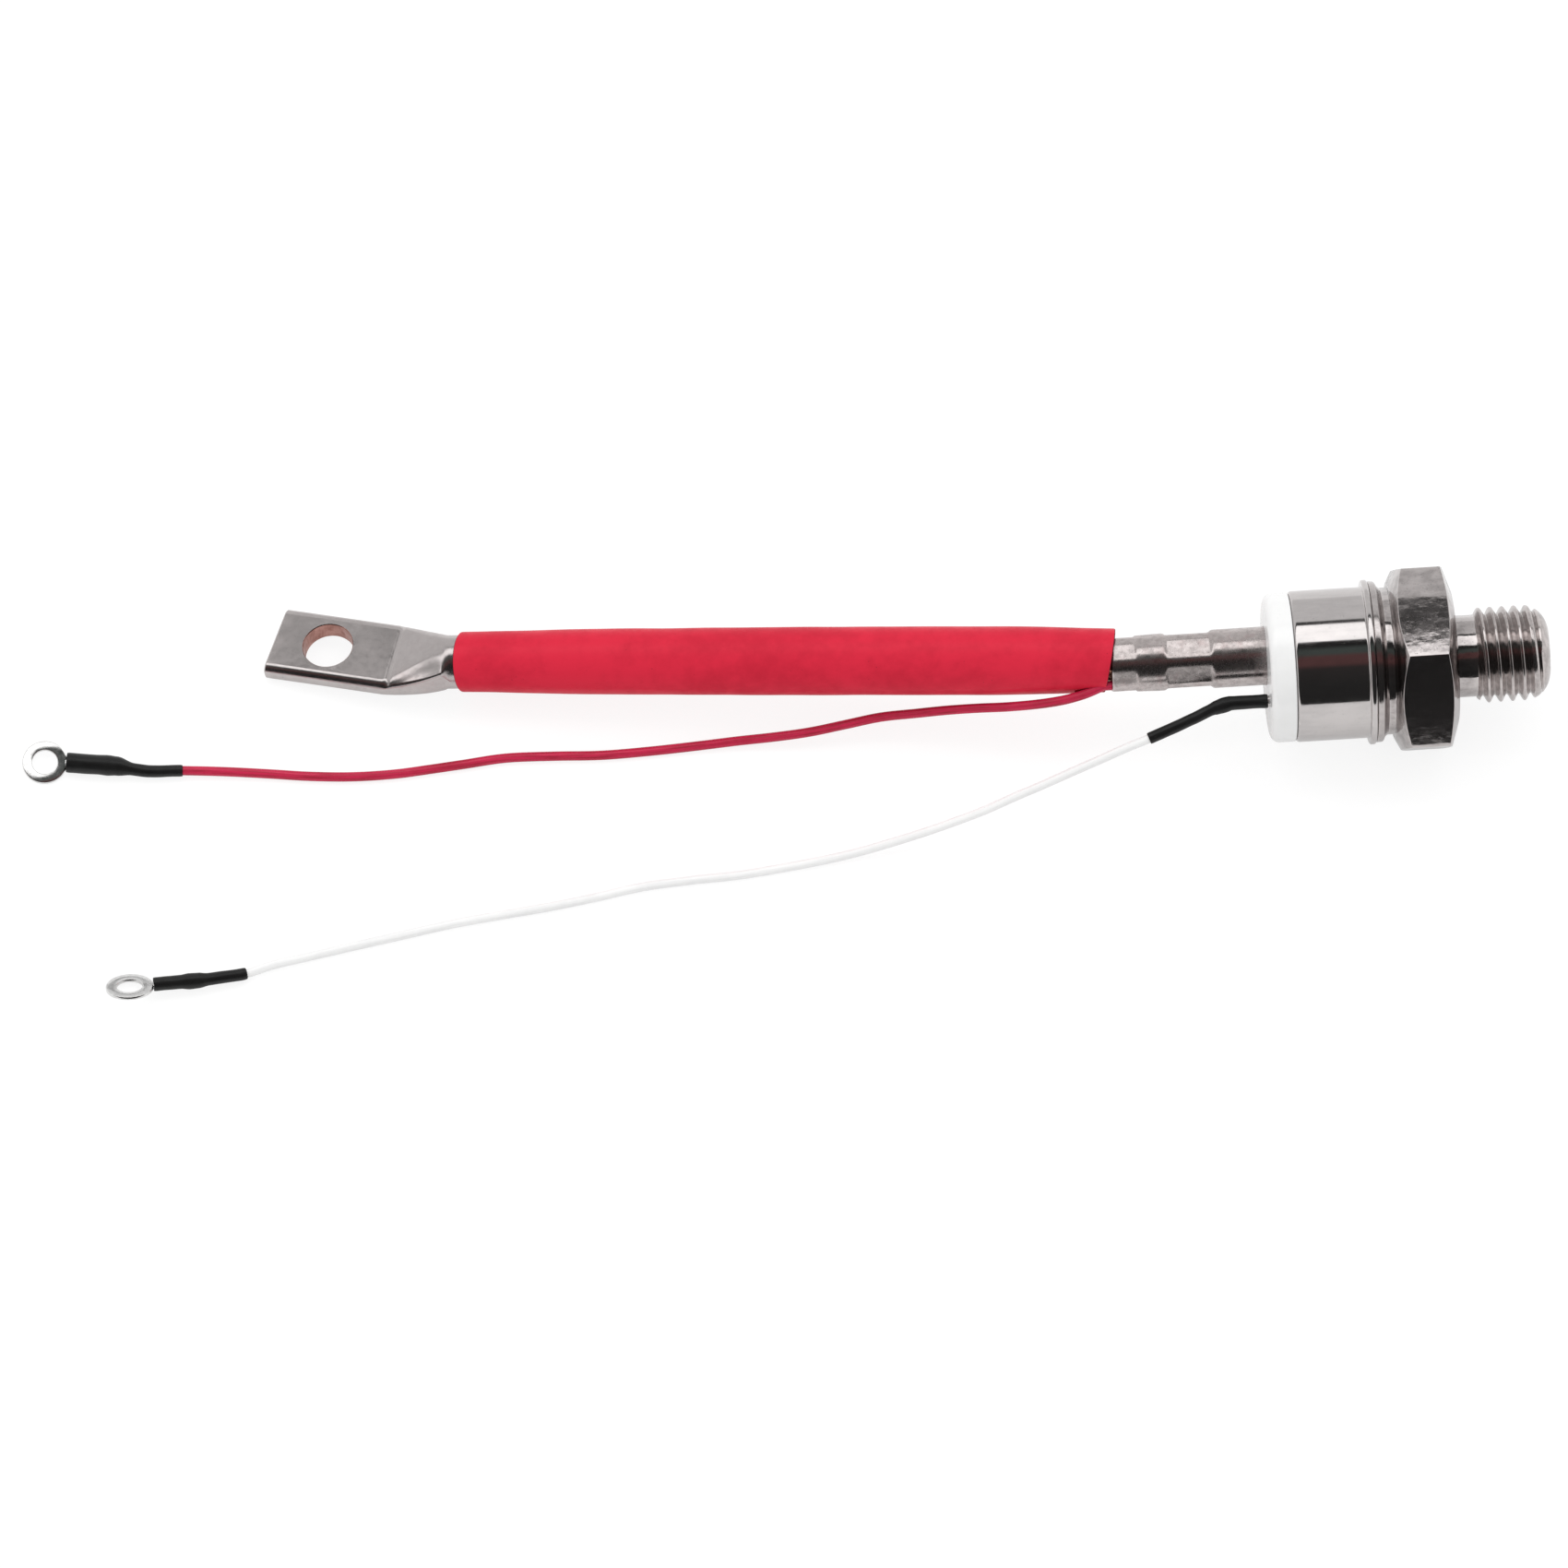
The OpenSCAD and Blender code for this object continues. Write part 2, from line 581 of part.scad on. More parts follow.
// Plated copper tube with two hexagonal crimps and a closed web between its two bores
module cathode_tube() {
    web_h = cap_top_h + 1;
    web_t = 3;
    r = tube_d / 2;
    mouth_r = r - crimp_draw;
    color("lightgray") along_stud() translate([0, tube_offset, 0]) difference() {
        rotate_extrude() polygon([
            [0, tube_root_h], [r, tube_root_h], [r, crimp_near_h],
            [r - crimp_draw / 2, crimp_near_h + 1],
            [r - crimp_draw / 2, crimp_mouth_h - crimp_gap], [mouth_r, crimp_mouth_h],
            [mouth_r, tube_end_h - 0.4], [mouth_r - 0.3, tube_end_h], [0, tube_end_h]
        ]);
        translate([0, 0, tube_root_h - 1])
            cylinder(r = conductor_bore_d / 2, h = web_h - tube_root_h + 1);
        translate([0, 0, web_h + web_t])
            cylinder(r = conductor_bore_d / 2, h = tube_len);
        crimp_cuts(crimp_af, tube_d / 2, crimp_near_h, crimp_near_h + crimp_near_len);
        crimp_cuts(crimp_af, tube_d / 2, crimp_mouth_h, tube_end_h + 4);
    }
}

// Gate pin brazed into the ceramic
module gate_pin() {
    color("silver") along_stud() translate([0, -gate_offset, spigot_h - 0.1])
        cylinder(r = gate_pin_d / 2, h = gate_pin_end_h - spigot_h + 0.1);
}

// Stranded rope from the bore of the cathode tube to the bore of the lug
module power_rope() {
    tube_mouth = [-tube_end_h, tube_offset, axis_z];
    blend_end = lead_start + rope_blend * lead_dir;
    path = concat(
        [tube_mouth + [tube_len - 6, 0, 0]],
        [for (i = [0 : 6]) joining_point(tube_mouth, [-rope_blend, 0, 0],
            blend_end, rope_blend * lead_dir, i / 6)],
        [for (s = [30 : 20 : lead_len - 20]) lead_start + s * lead_dir],
        [lead_finish - 2 * lead_dir]);
    color("peru") at_home()
        sweep(path, [for (p = path) rope_d / 2], 16);
}

// Heat-shrunk red sleeve over the rope and the lug tube
module lead_sleeve() {
    last = len(sleeve_profile) - 1;
    outline = concat(
        [[sleeve_profile[0].y, -3]], [for (s = sleeve_profile) [s.y, s.x]],
        [[sleeve_profile[last].y, sleeve_len + 3]]);
    color("crimson") difference() {
        along_lead() rotate_extrude() polygon(concat(
            outline,
            [for (i = [len(outline) - 1 : -1 : 0]) outline[i] - [sleeve_wall, 0]]
        ));
        along_lead() rotate(mouth_long_side) rotate([0, mouth_slant, 0])
            translate([-20, -20, -20]) cube([40, 40, 20]);
        along_lead() translate([0, 0, sleeve_len]) rotate(lug_long_side)
            rotate([0, -sleeve_slant, 0]) translate([-20, -20, 0]) cube([40, 40, 20]);
        at_home() aux_notch();
    }
}

// Round-ended notch through which the auxiliary wire leaves the sleeve
module aux_notch() {
    width = aux_wire_d + 0.6;
    start_x = -tube_end_h - aux_notch_len;
    translate([start_x, -8, aux_notch_z - width / 2]) cube([aux_notch_len + 2, 8, width]);
    translate([start_x, 0, aux_notch_z]) rotate([90, 0, 0]) cylinder(d = width, h = 8);
}

// Skin from the round end of the lug tube to the flat section of the tongue. The section
// changes almost evenly along it, so that its lower edge runs straight from tube to fold
module lug_flattening(per_corner, steps) {
    evenness = 0.6;
    ring = 4 * per_corner;
    round_end = matching_circle(lug_tube_d / 2 - 0.03, per_corner);
    flat_end = rounded_outline(tongue_w, tongue_t, tongue_round, per_corner);
    fold_centre = fold_point + tongue_t / 2 * tongue_up;
    skin = [for (i = [0 : steps]) for (k = [0 : ring - 1])
        let (t = i / steps, e = lerp(ease(t), t, evenness),
            centre = lerp(lead_finish, fold_centre, t),
            height = lerp(lead_finish.z, fold_centre.z, e),
            a = round_end[k].x * lead_side + round_end[k].y * lead_up,
            b = flat_end[k].x * tongue_side + flat_end[k].y * tongue_up)
        [centre.x, centre.y, height] + lerp(a, b, e)];
    polyhedron(
        points = skin,
        faces = concat(
            [[for (k = [ring - 1 : -1 : 0]) k]],
            [[for (k = [0 : ring - 1]) steps * ring + k]],
            wall_faces(steps + 1, ring, 0, false)),
        convexity = 4);
}

// Copper tube lug, pressed flat into a tongue with a bolt hole
module cable_lug() {
    color("lightgray") difference() {
        union() {
            along_lead() translate([0, 0, lead_len - lug_tube_len])
                cylinder(r = lug_tube_d / 2, h = lug_tube_len);
            at_home() lug_flattening(8, 9);
            along_tongue() translate([0, 0, tongue_t / 2]) rotate([90, 0, -90])
                linear_extrude(height = tongue_len + 1)
                    polygon(rounded_outline(tongue_w, tongue_t, tongue_round, 8));
        }
        along_tongue() translate([-tongue_len, -tongue_w / 2, -1])
            rotate([0, 0, -tongue_tip_slant])
                translate([-10, -5, 0]) cube([10, tongue_w + 10, tongue_t + 2]);
        along_lead() translate([0, 0, lead_len - lug_tube_len - 1])
            cylinder(r = conductor_bore_d / 2, h = lug_tube_len);
        along_tongue() translate([lug_hole_from_tip - tongue_len, 0, -2])
            cylinder(r = lug_hole_d / 2, h = tongue_t + 4);
    }
}

// Black shrink tube over the gate pin and the start of the gate wire
module gate_shrink() {
    pin_start = [-cap_top_h - 0.8, -gate_offset, axis_z];
    path = concat([pin_start], [for (i = [0 : pin_shrink_points]) gate_path[i]]);
    outer = [for (i = [0 : len(path) - 1]) (i < 5 ? pin_shrink_d : wire_shrink_d) / 2];
    inner = [for (i = [0 : len(path) - 1])
        (i < 3 ? gate_pin_d : gate_wire_d) / 2 + sleeve_gap];
    color("#222222") at_home() hollow_sweep(path, outer, inner, shrink_sides);
}

// White gate wire
module gate_wire() {
    color("whitesmoke") at_home()
        sweep(gate_path, [for (p = gate_path) gate_wire_d / 2], wire_sides);
}

// Red auxiliary cathode wire
module aux_wire() {
    color("firebrick") at_home()
        sweep(aux_path, [for (p = aux_path) aux_wire_d / 2], wire_sides);
}

// Shrink tube over the end of a wire and the barrel of its terminal
module end_shrink(path, count, mouth, direction, over_barrel, wire_d, barrel_d) {
    last = len(path) - 1;
    course = concat(
        [for (i = [last - count : last]) path[i]],
        [mouth + over_barrel / 2 * direction, mouth + over_barrel * direction]);
    barrel_shrink_d = max(wire_shrink_d, barrel_d + 2 * (sleeve_gap + 0.25));
    outer = [for (i = [0 : count + 2]) (i < count ? wire_shrink_d : barrel_shrink_d) / 2];
    inner = [for (i = [0 : count + 2]) (i < count ? wire_d : barrel_d) / 2 + sleeve_gap];
    hollow_sweep(course, outer, inner, shrink_sides);
}

module gate_end_shrink() {
    color("#222222") at_home()
        end_shrink(gate_path, gate_shrink_points, gate_mouth,
            gate_terminal_dir, gate_ring_reach - gate_ring_d / 2,
            gate_wire_d, gate_barrel_d);
}

module aux_end_shrink() {
    color("#222222") at_home()
        end_shrink(aux_path, aux_shrink_points, aux_mouth,
            aux_terminal_dir, aux_ring_reach - aux_ring_d / 2,
            aux_wire_d, aux_barrel_d);
}

// Ring terminal along local -X, with the mouth of its barrel at the origin
module ring_terminal(barrel_d, barrel_len, ring_d, reach, drop) {
    neck_w = 2 * sqrt(pow(barrel_d / 2 - 0.05, 2) - pow(drop + ring_t / 2, 2));
    difference() {
        union() {
            rotate([0, -90, 0]) cylinder(d = barrel_d, h = barrel_len);
            translate([-reach, -neck_w / 2, -drop - ring_t / 2])
                cube([reach - barrel_len + 1.5, neck_w, ring_t]);
            translate([-reach, 0, -drop - ring_t / 2]) cylinder(d = ring_d, h = ring_t);
        }
        translate([-reach, 0, -drop - 2]) cylinder(d = ring_hole_d, h = 4);
    }
}

module gate_terminal() {
    color("lightgray") at_home() translate(gate_mouth) rotate([0, 0, -gate_terminal_yaw])
        rotate([0, -gate_terminal_pitch, 0]) rotate([gate_terminal_roll, 0, 0])
            ring_terminal(gate_barrel_d, gate_barrel_len, gate_ring_d, gate_ring_reach,
                gate_ring_drop);
}

module aux_terminal() {
    color("lightgray") at_home() translate(aux_mouth) rotate([0, 0, -aux_terminal_yaw])
        rotate([0, -aux_terminal_pitch, 0]) rotate([aux_terminal_roll, 0, 0])
            ring_terminal(aux_barrel_d, aux_barrel_len, aux_ring_d, aux_ring_reach,
                aux_ring_drop);
}

// Molybdenum disc between the base and the wafer
module anode_disc() {
    color("slategray") along_stud() translate([0, 0, pedestal_h])
        cylinder(r = pedestal_r - 0.2, h = anode_disc_t);
}

// Silicon wafer with a bevelled rim
module silicon_wafer() {
    r = min(wafer_d / 2, pedestal_r - 0.2);
    color("dimgray") along_stud() translate([0, 0, wafer_h]) rotate_extrude() polygon([
        [0, 0], [r, 0], [r - wafer_t * 0.8, wafer_t], [0, wafer_t]
    ]);
}

// Contact disc on the cathode side, with a middle hole for the gate
module cathode_disc() {
    color("lightslategray") along_stud() translate([0, 0, cathode_disc_h])
        washer(post_foot_r() - 0.2, gate_bore_r, cathode_disc_t);
}

function post_foot_r() = pedestal_r - 1.6;

// Copper post with a foot, a gate bore and a side slot for the gate lead
module cathode_post() {
    color("chocolate") along_stud() difference() {
        union() {
            translate([0, 0, post_h]) cylinder(r = post_foot_r(), h = post_foot_t);
            translate([0, 0, post_h]) cylinder(r = post_d / 2, h = post_top_h - post_h);
        }
        translate([0, 0, post_h - 1])
            cylinder(r = gate_bore_r, h = gate_bush_top_h + seat_gap - post_h + 1);
        translate([0, 0, post_h])
            cylinder(r = gate_passage_r, h = gate_slot_h + gate_slot_len - post_h);
        translate([-gate_passage_r, -post_d, gate_slot_h])
            cube([2 * gate_passage_r, post_d, gate_slot_len]);
    }
}

// Plastic ring that centres the discs and the wafer
module locating_ring() {
    color("ivory") along_stud() translate([0, 0, floor_h])
        washer(clamp_inner_r - 0.1, pedestal_r + seat_gap, post_h + 1 - floor_h);
}

// Flanged plastic bush that insulates the springs from the cathode post
module insulating_bush() {
    color("ivory") along_stud() {
        difference() {
            union() {
                translate([0, 0, bush_h]) cylinder(r = spring_outer_r, h = bush_flange_t);
                translate([0, 0, bush_h]) cylinder(r = bush_outer_r, h = clamp_top_h - bush_h);
            }
            translate([0, 0, bush_h - 1]) cylinder(r = bush_inner_r, h = clamp_top_h);
        }
    }
}

// Steel washer that spreads the spring force
module pressure_washer() {
    color("silver") along_stud() translate([0, 0, washer_h])
        washer(spring_outer_r, spring_inner_r, pressure_washer_t);
}

// Conical spring washer. Its inner rim is the higher one when upright
module disc_spring(position, upright) {
    inner_z = upright ? disc_spring_rise : 0;
    outer_z = upright ? 0 : disc_spring_rise;
    color("steelblue") along_stud() translate([0, 0, spring_h + position * spring_step])
        rotate_extrude() polygon([
            [spring_inner_r, inner_z],
            [spring_outer_r, outer_z],
            [spring_outer_r, outer_z + disc_spring_t],
            [spring_inner_r, inner_z + disc_spring_t]
        ]);
}

module disc_spring_lower() { disc_spring(0, true); }

module disc_spring_middle() { disc_spring(1, false); }

module disc_spring_upper() { disc_spring(2, true); }

// Cup that is pressed into a groove of the base and holds the stack under load
module clamp_cup() {
    foot_h = floor_h - clamp_groove_depth;
    color("silver") along_stud() rotate_extrude() polygon([
        [clamp_inner_r, foot_h],
        [clamp_outer_r, foot_h],
        [clamp_outer_r, clamp_top_h - 0.5],
        [clamp_outer_r - 0.5, clamp_top_h],
        [bush_outer_r + 0.2, clamp_top_h],
        [bush_outer_r + 0.2, clamp_lip_h],
        [clamp_inner_r, clamp_lip_h]
    ]);
}

// Small plastic cup that insulates the gate contact inside the post
module gate_bush() {
    low = cathode_disc_h + 0.1;
    color("ivory") along_stud() difference() {
        translate([0, 0, low]) cylinder(r = gate_bush_r, h = gate_bush_top_h - low);
        translate([0, 0, low - 1])
            cylinder(r = gate_bush_bore_r, h = gate_bush_top_h - low + 1 - 0.4);
        translate([0, 0, low]) cylinder(r = gate_lead_r + 0.1, h = 20);
    }
}

// Contact pin that the gate spring presses on the middle of the wafer
module gate_contact() {
    color("gold") along_stud() rotate_extrude() polygon([
        [0, cathode_disc_h],
        [gate_contact_r - 0.4, cathode_disc_h],
        [gate_contact_r, cathode_disc_h + 0.4],
        [gate_contact_r, cathode_disc_h + gate_contact_len],
        [0, cathode_disc_h + gate_contact_len]
    ]);
}

// Coil spring between the gate contact and the roof of the gate bush
module gate_spring() {
    coil_r = gate_contact_r - gate_spring_wire_r;
    low = cathode_disc_h + gate_contact_len + gate_spring_wire_r;
    high = gate_bush_top_h - 0.4 - gate_spring_wire_r;
    steps = 12 * gate_spring_turns;
    // The coil is laid along -X, so that its sweep keeps one upward direction
    path = [for (i = [0 : steps])
        let (a = 360 * gate_spring_turns * i / steps)
        [-lerp(low, high, i / steps), coil_r * cos(a), axis_z + coil_r * sin(a)]];
    color("silver") at_home() coil(path, [-1, 0, 0], gate_spring_wire_r, 6);
}

// Round wire along a coil, with each ring of points set by the axis of the coil
module coil(path, axis, r, sides) {
    rings = len(path);
    points = [for (i = [0 : rings - 1])
        let (d = path_heading(path, i), out = unit(cross(d, axis)), up = cross(out, d))
        for (k = [0 : sides - 1])
            path[i] + r * cos(360 * k / sides) * out + r * sin(360 * k / sides) * up];
    polyhedron(
        points = points,
        faces = concat(
            [[for (k = [sides - 1 : -1 : 0]) k]],
            [[for (k = [0 : sides - 1]) (rings - 1) * sides + k]],
            wall_faces(rings, sides, 0, false)),
        convexity = 10);
}

// Thin lead from the gate contact through the slot of the post to the gate pin
module gate_lead() {
    slot_mid_h = gate_slot_h + gate_slot_len / 2;
    start_h = cathode_disc_h + gate_contact_len;
    rise = [[start_h, 0], [slot_mid_h - 0.6, 0], [slot_mid_h - 0.1, -0.35],
        [slot_mid_h, -1], [slot_mid_h, -gate_offset + 0.9],
        [slot_mid_h + 0.3, -gate_offset + 0.25], [slot_mid_h + 0.9, -gate_offset],
        [spigot_h - 0.1, -gate_offset]];
    path = [for (p = rise) [-p.x, p.y, axis_z]];
    color("gold") at_home() sweep(path, [for (p = path) gate_lead_r], 6);
}

// Short braid from the post to the bore of the cathode tube
module inner_lead() {
    r = min(conductor_bore_d / 2 - 0.15, post_d / 2 - 0.6);
    foot_len = 0.3;
    tail_len = 3.5;
    color("peru") along_stud() {
        hull() {
            translate([0, 0, post_top_h]) cylinder(r = r, h = foot_len, $fn = 32);
            translate([0, tube_offset, tube_root_h - foot_len])
                cylinder(r = r, h = foot_len, $fn = 32);
        }
        translate([0, tube_offset, tube_root_h - foot_len])
            cylinder(r = r, h = foot_len + tail_len, $fn = 32);
    }
}

stud_base();
weld_ring();
can_shell();
ceramic_cap();
cathode_tube();
gate_pin();
power_rope();
lead_sleeve();
cable_lug();
gate_shrink();
gate_wire();
gate_end_shrink();
gate_terminal();
aux_wire();
aux_end_shrink();
aux_terminal();
anode_disc();
silicon_wafer();
cathode_disc();
cathode_post();
locating_ring();
insulating_bush();
pressure_washer();
disc_spring_lower();
disc_spring_middle();
disc_spring_upper();
clamp_cup();
gate_bush();
gate_contact();
gate_spring();
gate_lead();
inner_lead();
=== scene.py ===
"""Looks of a stud thyristor with a flexible power lead and two thin signal wires.

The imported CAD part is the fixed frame. The sizes of pieces are in millimetres on the bench
that the part's source uses, and a Bench turns them into metres in the row frame. The sizes of
finishes and of the studio are in metres in the row frame, and all angles are in degrees.
"""

import logging
import math
from dataclasses import dataclass, field, replace
from enum import Enum
from typing import Callable, Mapping, Optional, Sequence, Union

import bmesh
import bpy
from mathutils import Matrix, Vector, noise


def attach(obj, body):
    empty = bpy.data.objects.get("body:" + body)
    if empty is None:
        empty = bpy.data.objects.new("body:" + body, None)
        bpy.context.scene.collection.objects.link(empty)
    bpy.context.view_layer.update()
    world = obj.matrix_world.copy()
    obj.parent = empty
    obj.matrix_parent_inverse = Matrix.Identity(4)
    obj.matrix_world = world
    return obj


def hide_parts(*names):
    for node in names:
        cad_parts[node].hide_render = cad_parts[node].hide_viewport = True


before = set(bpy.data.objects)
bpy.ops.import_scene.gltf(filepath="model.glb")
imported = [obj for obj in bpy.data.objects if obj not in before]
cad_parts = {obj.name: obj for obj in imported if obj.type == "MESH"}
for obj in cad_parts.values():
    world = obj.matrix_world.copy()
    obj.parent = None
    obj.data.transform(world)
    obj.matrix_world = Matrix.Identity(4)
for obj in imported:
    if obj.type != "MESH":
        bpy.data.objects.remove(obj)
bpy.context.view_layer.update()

log = logging.getLogger("thyristor")

BODY = "root"
ROUTE_STEPS = 6  # to each stretch of a signal wire's route
Pair = tuple[float, float]
Pairs = tuple[Pair, ...]
Point = tuple[float, float, float]
Colour = tuple[float, float, float]
Ring = list[Vector]
Mesh = bmesh.types.BMesh
Material = bpy.types.Material
Socket = bpy.types.NodeSocket
Value = Union[float, Socket]


class Slot(Enum):
    """Material slots of the record, by name."""

    NICKEL = "nickel_plate"
    CAN = "can_plate"
    CERAMIC = "ceramic"
    TIN = "tin_plate"
    RED_SLEEVE = "red_sleeve"
    BLACK_SHRINK = "black_shrink"
    WHITE_WIRE = "white_wire"
    RED_WIRE = "red_wire"


# Places -----------------------------------------------------------------------------------


def turn_about(axis: str, degrees: float) -> Matrix:
    """Rotation about the X, Y or Z axis."""
    return Matrix.Rotation(math.radians(degrees), 4, axis)


def aimed(at: Sequence[float], yaw: float, pitch: float, roll: Matrix = Matrix()) -> Matrix:
    """Matrix at a point, whose local -X runs along a heading after the roll."""
    return Matrix.Translation(at) @ (turn_about("Z", -yaw) @ turn_about("Y", -pitch) @ roll)


@dataclass(frozen=True)
class Bench:
    """Places bench millimetres in the row frame, as the part's source does."""

    centre_x: float = -91.35149
    centre_y: float = 6.84257
    axis_z: float = 15.0

    def home(self) -> Matrix:
        """Matrix from bench millimetres to row metres."""
        return Matrix.Scale(0.001, 4) @ Matrix.Translation((-self.centre_x, -self.centre_y, 0))

    def along_stud(self) -> Matrix:
        """Matrix whose local +Z runs from the seat face towards the cap."""
        return self.home() @ Matrix.Translation((0, 0, self.axis_z)) @ turn_about("Y", -90)


BENCH = Bench()


def heading(yaw: float, pitch: float) -> Vector:
    """Unit direction that leaves the housing, turned in plan by yaw and falling by pitch."""
    a, b = math.radians(yaw), math.radians(pitch)
    return Vector((-math.cos(b) * math.cos(a), math.cos(b) * math.sin(a), -math.sin(b)))


def sideways(yaw: float) -> Vector:
    """Level unit direction across a heading, away from the signal wires."""
    return Vector((math.sin(math.radians(yaw)), math.cos(math.radians(yaw)), 0))


def lerp(a: float, b: float, t: float) -> float:
    """Value at t between a and b."""
    return a + (b - a) * t


def ease(t: float) -> float:
    """Smooth step from 0 to 1, held at both ends."""
    t = min(max(t, 0.0), 1.0)
    return t * t * (3 - 2 * t)


def bell(x: float, middle: float, width: float) -> float:
    """Bell curve of height 1."""
    return math.exp(-(((x - middle) / width) ** 2))


def soft_min(a: float, b: float, width: float) -> float:
    """Smaller of two values, with a rounded change-over of the given width."""
    overlap = max(width - abs(a - b), 0.0) / width
    return min(a, b) - overlap * overlap * width / 4


def from_flat(angle: float) -> float:
    """Angle from the middle of the nearest of six flats, the first of which faces angle 0."""
    sixth = math.pi / 3
    return (angle + sixth / 2) % sixth - sixth / 2


def stepped(x: float, stops: Sequence[Pair]) -> float:
    """Smooth value at x of a table of (place, value) stops.

    Args:
        x: The place.
        stops: Stops in rising order of place.

    Returns:
        The value, eased between the two stops about x and held beyond the ends.
    """
    if x <= stops[0][0]:
        return stops[0][1]
    for (x0, y0), (x1, y1) in zip(stops, stops[1:]):
        if x <= x1:
            return lerp(y0, y1, ease((x - x0) / (x1 - x0)))
    return stops[-1][1]


def turns(sides: int) -> list[float]:
    """Angles in radians of evenly spread points round a full turn."""
    return [2 * math.pi * k / sides for k in range(sides)]


def polar(r: float, angle: float, h: float = 0.0) -> Vector:
    """Point at a radius and an angle about the Z axis, and a height."""
    return Vector((r * math.cos(angle), r * math.sin(angle), h))


def lump(p: Vector, size: float, seed: float) -> float:
    """Smooth noise between about -1 and 1 at a point in millimetres."""
    return noise.noise(p / size + Vector((seed, 3 * seed, 7 * seed)))


def curve_point(a: Vector, b: Vector, c: Vector, d: Vector, t: float) -> Vector:
    """Point at t between b and c on the smooth curve through a, b, c and d."""
    return 0.5 * (
        2 * b
        + (c - a) * t
        + (2 * a - 5 * b + 4 * c - d) * t * t
        + (3 * b - a - 3 * c + d) * t * t * t
    )


def smooth_route(points: Sequence[Vector], steps: int) -> list[Vector]:
    """Smooth route through given points.

    Args:
        points: The hand-set points.
        steps: How many steps each stretch is cut into.

    Returns:
        The points of the smooth route, with both ends.
    """
    last = len(points) - 1
    route = [
        curve_point(
            points[max(i - 1, 0)], points[i], points[i + 1], points[min(i + 2, last)], k / steps
        )
        for i in range(last)
        for k in range(steps)
    ]
    return route + [points[last]]


def route_length(path: Sequence[Vector]) -> float:
    """Length of a path."""
    return sum((b - a).length for a, b in zip(path, path[1:]))


def resampled(path: Sequence[Vector], step: float) -> list[Vector]:
    """Path with its points at most a step apart."""
    result = [path[0]]
    for a, b in zip(path, path[1:]):
        count = max(1, round((b - a).length / step))
        result += [a.lerp(b, (i + 1) / count) for i in range(count)]
    return result


@dataclass(frozen=True)
class WireRoute:
    """Course of a signal wire on the bench, from the housing to its terminal."""

    start: Point
    points: tuple[Point, ...]
    mouth: Point
    yaw: float
    pitch: float
    straight: float = 1.4

    def path(self, steps: int) -> list[Vector]:
        """Course of the wire in bench millimetres, straight at both ends."""
        direction = heading(self.yaw, self.pitch)
        start, mouth = Vector(self.start), Vector(self.mouth)
        middle = [
            start - Vector((self.straight, 0, 0)),
            *[Vector(p) for p in self.points],
            mouth - self.straight * direction,
        ]
        return [start, *smooth_route(middle, steps), mouth]


GATE_ROUTE = WireRoute(
    start=(-36.7, -6.4, 15),
    points=(
        (-41, -7.1, 14.7), (-44, -8.3, 14.2), (-48, -9.6, 13.4), (-52, -10.8, 12.5),
        (-56, -11.9, 11.7), (-60, -13, 10.6), (-65, -14.3, 9.2), (-70, -15.6, 7.7),
        (-75, -16.9, 6.4), (-80, -18.3, 5.1), (-85, -19.4, 3.9), (-90, -20.5, 3),
        (-96, -21.7, 2.1), (-102, -22.8, 1.4), (-108, -23.7, 1), (-115, -24.6, 0.8),
        (-122, -25.4, 0.8), (-130, -25.8, 0.8), (-138, -26.5, 0.8), (-146, -28, 0.8),
        (-154, -29.3, 0.8), (-162, -30.3, 0.8), (-170, -31.4, 0.8), (-178, -32.9, 0.8),
        (-186, -34.4, 0.8), (-194, -36, 0.9), (-200, -37.3, 1.1), (-204.8, -38.8, 1.3),
        (-209, -39.5, 1.7),
    ),
    mouth=(-213.5, -40, 2),
    yaw=-3,
    pitch=-2,
)

AUX_ROUTE = WireRoute(
    start=(-57.5, -1.5, 15),
    points=(
        (-61, -2.2, 14.6), (-63, -2.6, 14.1), (-66, -2.8, 13.3), (-70, -2.5, 12.1),
        (-75, -1.8, 10.7), (-80, -0.9, 9.4), (-85, -0.2, 8.2), (-90, 0.3, 7),
        (-96, 0.9, 5.5), (-102, 0.6, 4.3), (-108, 0.3, 3.1), (-114, 0.3, 2.2),
        (-120, 0.4, 1.5), (-127, 0.2, 1), (-135, -0.2, 0.9), (-143, -0.4, 0.9),
        (-151, 0, 0.9), (-159, 0.2, 0.9), (-166, -0.5, 0.9), (-172, -1.1, 0.9),
        (-178, -1.6, 0.9), (-185, -1.6, 0.9), (-192, -1, 0.9), (-199, 0, 0.9),
        (-206, 0.8, 1.1), (-213.2, 1.4, 1.3), (-219, 1.6, 1.5),
    ),
    mouth=(-225.5, 3, 1.8),
    yaw=9,
    pitch=0,
)


# Meshes -----------------------------------------------------------------------------------

CLEAN = 1e-4  # bench millimetres: points of a mesh nearer than this are one point
SEAM = 0.25  # share of a turn: a face past the rest of it that reaches back here spans the seam


